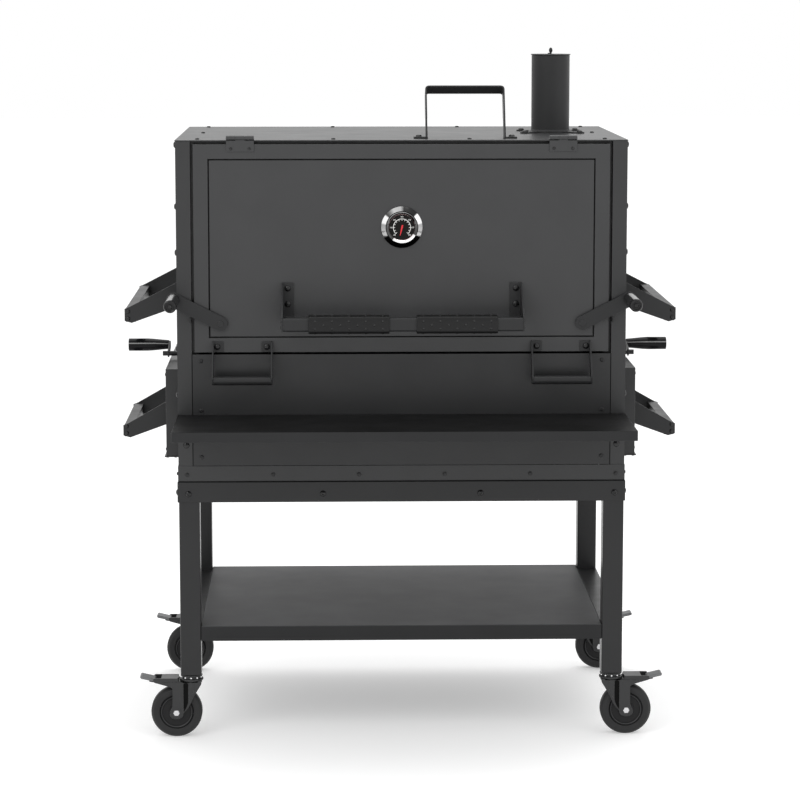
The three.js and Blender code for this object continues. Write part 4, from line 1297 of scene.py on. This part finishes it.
@dataclass
class Dial:
    """A dial thermometer: spun bezel, raised rim, black face, white scale, red needle."""

    rim: float = 40.5
    window: float = 24.6
    scale: float = 16.3
    sweep: float = 270.0
    ticks: int = 13
    arcs: int = 60
    numbers: Sequence[int] = range(100, 701, 100)
    digit: float = 3.8
    needle_angle: float = 193.0

    def build(self) -> None:
        """Make the bezel, the rim, the face, its marks and the needle."""
        seat = Span.of("thermometer").low.y + 13.0
        centre = Vector((0.0, seat, DIAL_HEIGHT))
        bezel = [(4, 60), (4, 0), (self.rim - 0.8, 0), (self.rim, -0.8), (self.rim, -2.2),
                 (self.rim - 0.8, -3.2), (31.8, -9.4), (31.0, -9.6), (30.4, -9.2), (30.0, -8.2), (0, -8.2),
                 (0, 60)]
        piece = Workpiece().turned(bezel, Axis.Y, centre, 96)
        piece.done("thermometer_bezel", BEZEL, "door", "thermometer", smooth=25)
        ring = [(self.window, -8.0), (30.2, -8.0), (30.9, -10.6), (30.6, -12.3), (29.8, -13.0), (29.0, -12.8),
                (self.window, -9.2)]
        Workpiece().turned(ring, Axis.Y, centre, 96).done("thermometer_rim", RIM, "door", smooth=60)
        # painted shade: a dark ring in the groove between the bezel and the rim
        groove_shade_ring = [(30.9, -8.1), (31.9, -8.1), (31.9, -9.5), (31.5, -9.75), (30.9, -9.6)]
        Workpiece().turned(groove_shade_ring, Axis.Y, centre, 96).done("thermometer_groove", PAINTED_SHADE, "door", smooth=60)
        self.face(centre + Vector((0, -8.3, 0)))

    def mark(
        self, piece: Workpiece, centre: Vector, angle: float, reach: tuple[float, float], width: float
    ) -> None:
        """Add one radial mark.

        Args:
            piece: The workpiece that collects the marks.
            centre: The middle of the face.
            angle: Degrees clockwise from straight up.
            reach: Radii where it starts and ends.
            width: Its width.
        """
        front = centre.y - 0.5
        stroke = Workpiece().block((centre.x - width / 2, front, centre.z + reach[0]),
                                   (centre.x + width / 2, front + 0.15, centre.z + reach[1]))
        piece.join(stroke.turn(angle, Axis.Y, centre))

    def face(self, centre: Vector) -> None:
        """Make the face, the scale and the needle.

        Args:
            centre: The middle of the face.
        """
        disc = [(0.0, 0.0), (self.window + 0.2, 0.0), (self.window + 0.2, -0.25), (0.0, -0.3)]
        Workpiece().turned(disc, Axis.Y, centre, 64).done("dial_face", DIAL, "door")
        marks = Workpiece()
        half = self.sweep / 2
        for k in range(self.ticks):
            angle = -half + self.sweep * k / (self.ticks - 1)
            self.mark(marks, centre, angle, (self.scale - 2.8, self.scale), 0.9)
        chord = 2 * (self.scale + 1.1) * math.tan(math.radians(self.sweep / self.arcs / 2))
        for k in range(self.arcs):
            angle = -half + self.sweep * (k + 0.5) / self.arcs
            self.mark(marks, centre, angle, (self.scale, self.scale + 1.1), chord)
        marks.done("dial_scale", INK, "door")
        for k, number in enumerate(self.numbers):
            angle = math.radians(-half + self.sweep * k / (len(self.numbers) - 1))
            place = Vector((math.sin(angle), 0, math.cos(angle))) * (self.scale + 4.5)
            self.number(str(number), centre + place + Vector((0, -0.5, 0)))
        self.needle(centre)

    def needle(self, centre: Vector) -> None:
        """Make the tapered needle and its boss.

        Args:
            centre: The middle of the face.
        """
        outline = ((-1.5, -5), (1.5, -5), (1.3, 6), (0.5, 16), (-0.5, 16), (-1.3, 6))
        corners = [(centre.x + a, centre.z + b) for a, b in outline]
        needle = Workpiece().prism(corners, Axis.Y, centre.y - 1.5, centre.y - 1.1)
        needle.turn(self.needle_angle, Axis.Y, centre)
        boss = [(0.0, -2.2), (1.6, -2.2), (2.0, -1.8), (2.0, -0.3), (0.0, -0.3)]
        needle.turned(boss, Axis.Y, centre, 24)
        needle.done("dial_needle", NEEDLE, "door")

    def number(self, digits: str, place: Vector) -> None:
        """Print one number of the scale.

        Args:
            digits: The number.
            place: Its middle, in millimetres.
        """
        text = bpy.data.curves.new(f"dial_number_{digits}", "FONT")
        text.body, text.size, text.extrude = digits, self.digit * MM, 0.05 * MM
        text.align_x, text.align_y = "CENTER", "CENTER"
        scratch = bpy.data.objects.new("scratch", text)
        bpy.context.scene.collection.objects.link(scratch)
        bpy.context.view_layer.update()
        flat = bpy.data.meshes.new_from_object(scratch)
        bpy.data.objects.remove(scratch)
        piece = Workpiece()
        piece.mesh.from_mesh(flat)
        piece.mesh.transform(Matrix.Scale(1 / MM, 4))
        piece.turn(90, Axis.X, (0, 0, 0))
        piece.mesh.transform(Matrix.Translation(place))
        piece.done(f"dial_number_{digits}", INK, "door")


@dataclass
class Latch:
    """A turning latch lever with a turned grip."""

    side: Side
    pivot: tuple[float, float] = (354.4, 832.0)
    length: float = 103.0
    slope: float = 27.0
    half: float = 14.0
    back: float = -306.0

    @property
    def tip(self) -> Vector:
        """The grip's axis at the lever's free end."""
        slope = math.radians(self.slope)
        return Vector((self.pivot[0] + self.length * math.cos(slope), 0,
                       self.pivot[1] + self.length * math.sin(slope)))

    def build(self) -> None:
        """Make the lever, the screws at its ends, the grip and the keeper."""
        word, body = self.side.word, f"latch_{self.side.word}"
        grip = Span.of(f"latch_grip_{word}")
        low, high, tip, back = grip.low.y, grip.high.y, self.tip, self.back
        x, z = self.pivot
        arc = [math.radians(90 + 180 * k / 12) for k in range(13)]
        shape = [(x + self.half * math.cos(t), z + self.half * math.sin(t)) for t in arc]
        shape += [(x + self.length - self.half * math.cos(t), z - self.half * math.sin(t)) for t in arc]
        piece = Workpiece(self.side).prism(shape, Axis.Y, back - 3, back).rounded(0.5, 2)
        piece.turn(-self.slope, Axis.Y, (x, back, z))
        piece.turned([(0, -5), (6, -5), (6, 5), (0, 5)], Axis.Y, (x, back, z), 24)
        piece.turned([(0, low + 2), (4, low + 2), (4, back), (0, back)], Axis.Y, tip, 24)
        piece.done(f"latch_bar_{word}", BLACK, body, f"latch_lever_{word}")
        head = Workpiece(self.side)
        Fastener(Head.FLUSH, 6.5).add(head, (x, back - 3, z), Axis.Y, -1)
        Fastener(Head.PAN, 3.4, recess=True).add(head, (tip.x, low + 1.8, tip.z), Axis.Y, -1)
        head.done(f"latch_screws_{word}", BOLT, body)
        tube = [(4.6, high), (11.2, high), (12.5, high - 1.6), (12.5, low + 2.2), (11.6, low + 0.5),
                (10.2, low), (8.6, low + 0.6), (8.0, low + 3.5), (4.6, low + 3.6)]
        turning = Workpiece(self.side).turned(tube, Axis.Y, tip, 48)
        turning.done(f"latch_grip_turning_{word}", TUBE, body, f"latch_grip_{word}")
        self.keeper()

    def keeper(self) -> None:
        """The ledge on the post that stops the lever from dropping."""
        ledge = Workpiece(self.side)
        ledge.block((411.9, -316.0, 834.0), (414.3, -300.0, 843.5)).rounded(0.6)
        ledge.done(f"latch_keeper_{self.side.word}", BLACK, "body")


# --------------------------------------------------------------------------- the sides
@dataclass
class Flank:
    """What stands on one side: lifting handle, charcoal drawer and crank."""

    side: Side
    lip: float = 557.2

    def build(self) -> None:
        """Make the pieces of this side."""
        word = self.side.word
        handles = ((f"side_handle_{word}", "body"), (f"drawer_handle_{word}", f"drawer_{word}"))
        for node, body in handles:
            Workpiece().copy_of(node).rounded(0.9, 3).done(f"{node}_bar", BLACK, body, node)
            self.handle_bolts(node, body)
        node = f"charcoal_drawer_{word}"
        # the drawer box takes the darker copy of the coat as painted shade
        Workpiece().copy_of(node).rounded(1.4, 3).done(f"{node}_box", COAT_SHADED, f"drawer_{word}", node)
        span = Span.of(node)
        x = max(abs(span.low.x), abs(span.high.x)) * self.side.value
        screws = [(x, y, z) for y in (-226, 226) for z in (572, 722)]
        fasten(f"drawer_screws_{word}", f"drawer_{word}", SMALL_SCREW, screws, Axis.X, self.side.value)
        self.drawer_flange(abs(x))
        node = f"cooking_grate_{word}"
        Workpiece().copy_of(node).rounded(0.7, 2).done(f"{node}_casting", IRON, f"grate_{word}", node)
        self.crank()

    def drawer_flange(self, face: float) -> None:
        """A lip under the drawer's front, with screws through it from below.

        Args:
            face: How far out the front stands.
        """
        word = self.side.word
        plate = Workpiece(self.side)
        plate.block((face - 24, -237.0, self.lip), (face + 3.5, 237.0, self.lip + 2.6)).rounded(0.7)
        plate.done(f"drawer_lip_{word}", COAT_SHADED, f"drawer_{word}")
        places = [(self.side.value * x, y, self.lip) for x in (face - 2, face - 18)
                  for y in (-228, -76, 76, 228)]
        fasten(f"drawer_lip_screws_{word}", f"drawer_{word}", LIP_SCREW, places, Axis.Z, -1)

    def handle_bolts(self, node: str, body: str) -> None:
        """Set the bolts of a handle's arms and feet.

        Args:
            node: The handle.
            body: The body that it rides on.
        """
        span = Span.of(node)
        root, outer = sorted((abs(span.low.x), abs(span.high.x)))
        for word, end, sense in (("front", span.low.y, -1), ("rear", span.high.y, 1)):
            x = self.side.value * (outer - 7)
            arm = [(x, end, span.low.z + rise) for rise in (9, 23)]
            fasten(f"{node}_bolts_{word}", body, ARM_BOLT, arm, Axis.Y, sense)
            x = self.side.value * (root + 2.5)
            foot = [(x, end - sense * 12, span.high.z - drop) for drop in (12, 36)]
            fasten(f"{node}_foot_bolts_{word}", body, CARRIAGE_BOLT, foot, Axis.X, self.side.value)

    def crank(self) -> None:
        """The crank with its shaft and pinions, and the tapered grip."""
        word = self.side.word
        crank, handle = f"crank_{word}", f"crank_grip_{word}"
        Workpiece().copy_of(crank).rounded(0.5, 2, 50).done(f"{crank}_forging", CRANK, crank, crank)
        grip = Span.of(handle)
        near, far = sorted((abs(grip.low.x), abs(grip.high.x)))
        r = grip.size.z / 2
        profile = [(4.2, near), (8.6, near), (9.4, near + 0.8), (9.9, near + 8), (11.0, near + 20),
                   (12.3, near + 33), (r, near + 44), (r, far - 1.4), (r - 0.5, far - 0.4), (r - 1.5, far),
                   (3.0, far), (3.0, far - 2), (4.2, far - 2)]
        centre = (0, grip.centre.y, grip.centre.z)
        piece = Workpiece(self.side).turned(profile, Axis.X, centre, 56)
        rivet = [(0.0, far - 2.4), (3.2, far - 2.4), (3.2, far - 0.3), (0.0, far - 0.1)]
        piece.turned(rivet, Axis.X, centre, 24)
        piece.done(f"crank_grip_turning_{word}", GLOSS, handle, handle)


# --------------------------------------------------------------------------- the roof's fittings
@dataclass
class Stack:
    """The chimney with its damper cap."""

    radius: float = 39.0
    wall: float = 2.0
    lid: float = 40.5
    ear: float = 88.0
    bolt_reach: float = 79.0
    pin: float = 30.0

    def build(self) -> None:
        """Make the tube, its foot and the cap."""
        span = Span.of("chimney")
        axis = Vector((span.centre.x, span.centre.y, 0))
        self.tube(axis, span.low.z, span.high.z)
        self.cap(axis, span.high.z + 0.3)

    def tube(self, axis: Vector, low: float, top: float) -> None:
        """The tube on a cross-shaped foot with four bolts.

        Args:
            axis: A point of its axis at the height of zero.
            low: The height of its foot.
            top: The height of its upper edge.
        """
        r = self.radius
        wall = [(r - self.wall, low), (r, low), (r, low + 3), (r, top - 1), (r - 0.5, top), (r - 1.5, top),
                (r - self.wall, top - 0.5)]
        piece = Workpiece().turned(wall, Axis.Z, axis, 96)
        foot = Workpiece()
        for angle in (45, 135):
            ear = Workpiece().prism(rectangle(2 * self.ear, 18, 9, 8), Axis.Z, 0, 2.5)
            foot.join(ear.turn(angle, Axis.Z, (0, 0, 0)))
        foot.mesh.transform(Matrix.Translation(axis + Vector((0, 0, low))))
        collar = [(38.5, low), (46, low), (46, low + 2.2), (44.5, low + 2.8), (41, low + 3.2),
                  (39.6, low + 6), (38.5, low + 6)]
        foot.turned(collar, Axis.Z, axis, 72)
        piece.join(foot).done("chimney_tube", STACK, "body", "chimney")
        reach = self.bolt_reach * math.sqrt(0.5)
        bolts = [axis + Vector((a * reach, b * reach, low + 2.5)) for a in (-1, 1) for b in (-1, 1)]
        fasten("chimney_bolts", "body", CARRIAGE_BOLT, bolts, Axis.Z, 1)

    def cap(self, axis: Vector, low: float) -> None:
        """The swivelling disc with its knob and pin.

        Args:
            axis: A point of the tube's axis at the height of zero.
            low: The height of the disc's underside.
        """
        r = self.lid
        disc = [(0, low), (r - 0.5, low), (r, low + 0.5), (r, low + 1.6), (r - 0.5, low + 2), (0, low + 2)]
        piece = Workpiece().turned(disc, Axis.Z, axis, 96)
        knob = [(0, low + 1.8), (3.0, low + 1.8), (2.0, low + 3), (1.8, low + 4), (3.1, low + 6.2),
                (3.8, low + 9), (3.4, low + 12), (2.0, low + 14.4), (0, low + 15.3)]
        piece.turned(knob, Axis.Z, axis, 24)
        pivot = axis + Vector((0, self.pin, 0))
        piece.turned([(0, low + 1.8), (4, low + 1.8), (3.6, low + 3.6), (0, low + 4)], Axis.Z, pivot, 20)
        piece.turned([(0, low - 10), (2.6, low - 10), (2.6, low + 1), (0, low + 1)], Axis.Z, pivot, 16)
        piece.done("chimney_cap_disc", STACK, "chimney_cap", "chimney_cap")


@dataclass
class DoorRest:
    """A strap bent to a bridge, leaning back over the roof."""

    lean: float = 29.0
    width: float = 31.0
    strap: float = 3.3
    corner: float = 7.0
    rise: float = 106.4
    foot_line: float = -232.0
    left_foot: float = 23.7
    right_foot: float = 22.2

    def build(self) -> None:
        """Make the strap with its feet and bolts."""
        span = Span.of("door_rest")
        left, right = span.low.x + self.left_foot, span.high.x - self.right_foot
        foot = Vector((0, self.foot_line, span.low.z))
        piece = self.bridge(foot, left, right)
        for low, high in ((span.low.x, left + 4), (right - 4, span.high.x)):
            plate = [(low, foot.y - 18), (high, foot.y - 18), (high, foot.y + 18), (low, foot.y + 18)]
            tab = Workpiece().prism(round_corners(plate, 4), Axis.Z, foot.z, foot.z + self.strap)
            piece.join(tab.rounded(0.6))
        piece.done("door_rest_strap", BLACK, "body", "door_rest")
        bolts = [(x, foot.y, foot.z + self.strap) for x in (span.low.x + 10, span.high.x - 10)]
        fasten("door_rest_bolts", "body", CARRIAGE_BOLT, bolts, Axis.Z, 1)

    def bridge(self, foot: Vector, left: float, right: float) -> Workpiece:
        """Sweep the leaning strap and cut it level above the roof.

        Args:
            foot: The line of the feet, on the roof.
            left: The outer face of the left leg.
            right: The outer face of the right leg.

        Returns:
            The strap.
        """
        lean = math.radians(self.lean)
        up = Vector((0, math.sin(lean), math.cos(lean)))
        across = Vector((0, math.cos(lean), -math.sin(lean)))
        low, high = left + self.strap / 2, right - self.strap / 2
        outline = ((low, -4.0), (low, self.rise), (high, self.rise), (high, -4.0))
        corners = [Vector(corner) for corner in outline]
        line = [corners[0]]
        for before, here, after in zip(corners, corners[1:], corners[2:]):
            start = here + (before - here).normalized() * self.corner
            end = here + (after - here).normalized() * self.corner
            line += bend(start, here, end, 8)
        line.append(corners[3])
        path = [foot + Vector((spot.x, 0, 0)) + up * spot.y for spot in line]
        piece = Workpiece().tube(path, rectangle(self.width, self.strap, 0.9, 3), across)
        mesh = piece.mesh
        cut = bmesh.ops.bisect_plane(
            mesh, geom=mesh.verts[:] + mesh.edges[:] + mesh.faces[:], plane_co=foot + Vector((0, 0, 0.4)),
            plane_no=(0, 0, -1), clear_outer=True,
        )
        rim = [edge for edge in cut["geom_cut"] if isinstance(edge, bmesh.types.BMEdge)]
        bmesh.ops.holes_fill(mesh, edges=rim)
        return piece


# --------------------------------------------------------------------------- the studio
@dataclass
class Studio:
    """Pale floor, soft light and the camera."""

    stand: Point = (-144.8, -5753.6, 1453.5)
    heading: float = 1.4834
    dip: float = 8.0742
    lens: float = 126.07
    floor_size: float = 60.0

    def build(self) -> None:
        """Set up the camera, the lights and the floor."""
        camera = bpy.data.objects.new("camera", bpy.data.cameras.new("camera"))
        camera.data.lens, camera.data.sensor_width = self.lens, 36.0
        camera.data.clip_end = 200.0
        camera.location = (Vector(self.stand) + MIDDLE) * MM
        camera.rotation_euler = (math.radians(90 - self.dip), 0, math.radians(-self.heading))
        bpy.context.scene.collection.objects.link(camera)
        bpy.context.scene.camera = camera
        world = bpy.data.worlds.new("studio")
        world.use_nodes = True
        sky = world.node_tree.nodes["Background"]
        sky.inputs["Color"].default_value = (1, 1, 1, 1)
        sky.inputs["Strength"].default_value = 1.0
        bpy.context.scene.world = world
        bpy.context.scene.view_settings.view_transform = "Standard"
        self.lamp("key", (-2.6, -3.4, 3.6), 2.6, 50)
        self.lamp("fill", (3.2, -2.6, 2.4), 3.0, 15)
        self.lamp("top", (0.3, 0.8, 4.2), 3.2, 60)
        self.floor()

    def lamp(self, name: str, place: Point, size: float, power: float) -> None:
        """Hang one soft box.

        Args:
            name: Its name.
            place: Its place in metres.
            size: Its side in metres.
            power: Its power in watts.
        """
        data = bpy.data.lights.new(name, "AREA")
        data.shape, data.size, data.energy = "SQUARE", size, power
        lamp = bpy.data.objects.new(name, data)
        lamp.location = place
        aim = Vector((0, 0, 0.8)) - Vector(place)
        lamp.rotation_euler = aim.to_track_quat("-Z", "Y").to_euler()
        bpy.context.scene.collection.objects.link(lamp)

    def floor(self) -> None:
        """Lay the pale floor."""
        half = self.floor_size / 2
        data = bpy.data.meshes.new("floor")
        corners = [(-half, -half, 0), (half, -half, 0), (half, half, 0), (-half, half, 0)]
        data.from_pydata(corners, [], [(0, 1, 2, 3)])
        recipe = Recipe("studio_floor")
        recipe.feed("Base Color", (0.8, 0.8, 0.8, 1))
        recipe.feed("Emission Color", (1, 1, 1, 1))
        recipe.feed("Emission Strength", 0.3)
        recipe.feed("Roughness", 0.9)
        data.materials.append(recipe.material)
        floor = bpy.data.objects.new("floor", data)
        bpy.context.scene.collection.objects.link(floor)


def main() -> None:
    """Build every sub-assembly in order."""
    logging.basicConfig(level=logging.INFO, format="%(name)s %(message)s")
    Studio().build()
    Cart().build()
    for end in ("front", "rear"):
        for side in Side:
            Caster(f"{end}_{side.word}", side).build()
    Cabinet().build()
    Door().build()
    for side in Side:
        Flank(side).build()
    Stack().build()
    DoorRest().build()


if __name__ == "__main__":
    main()
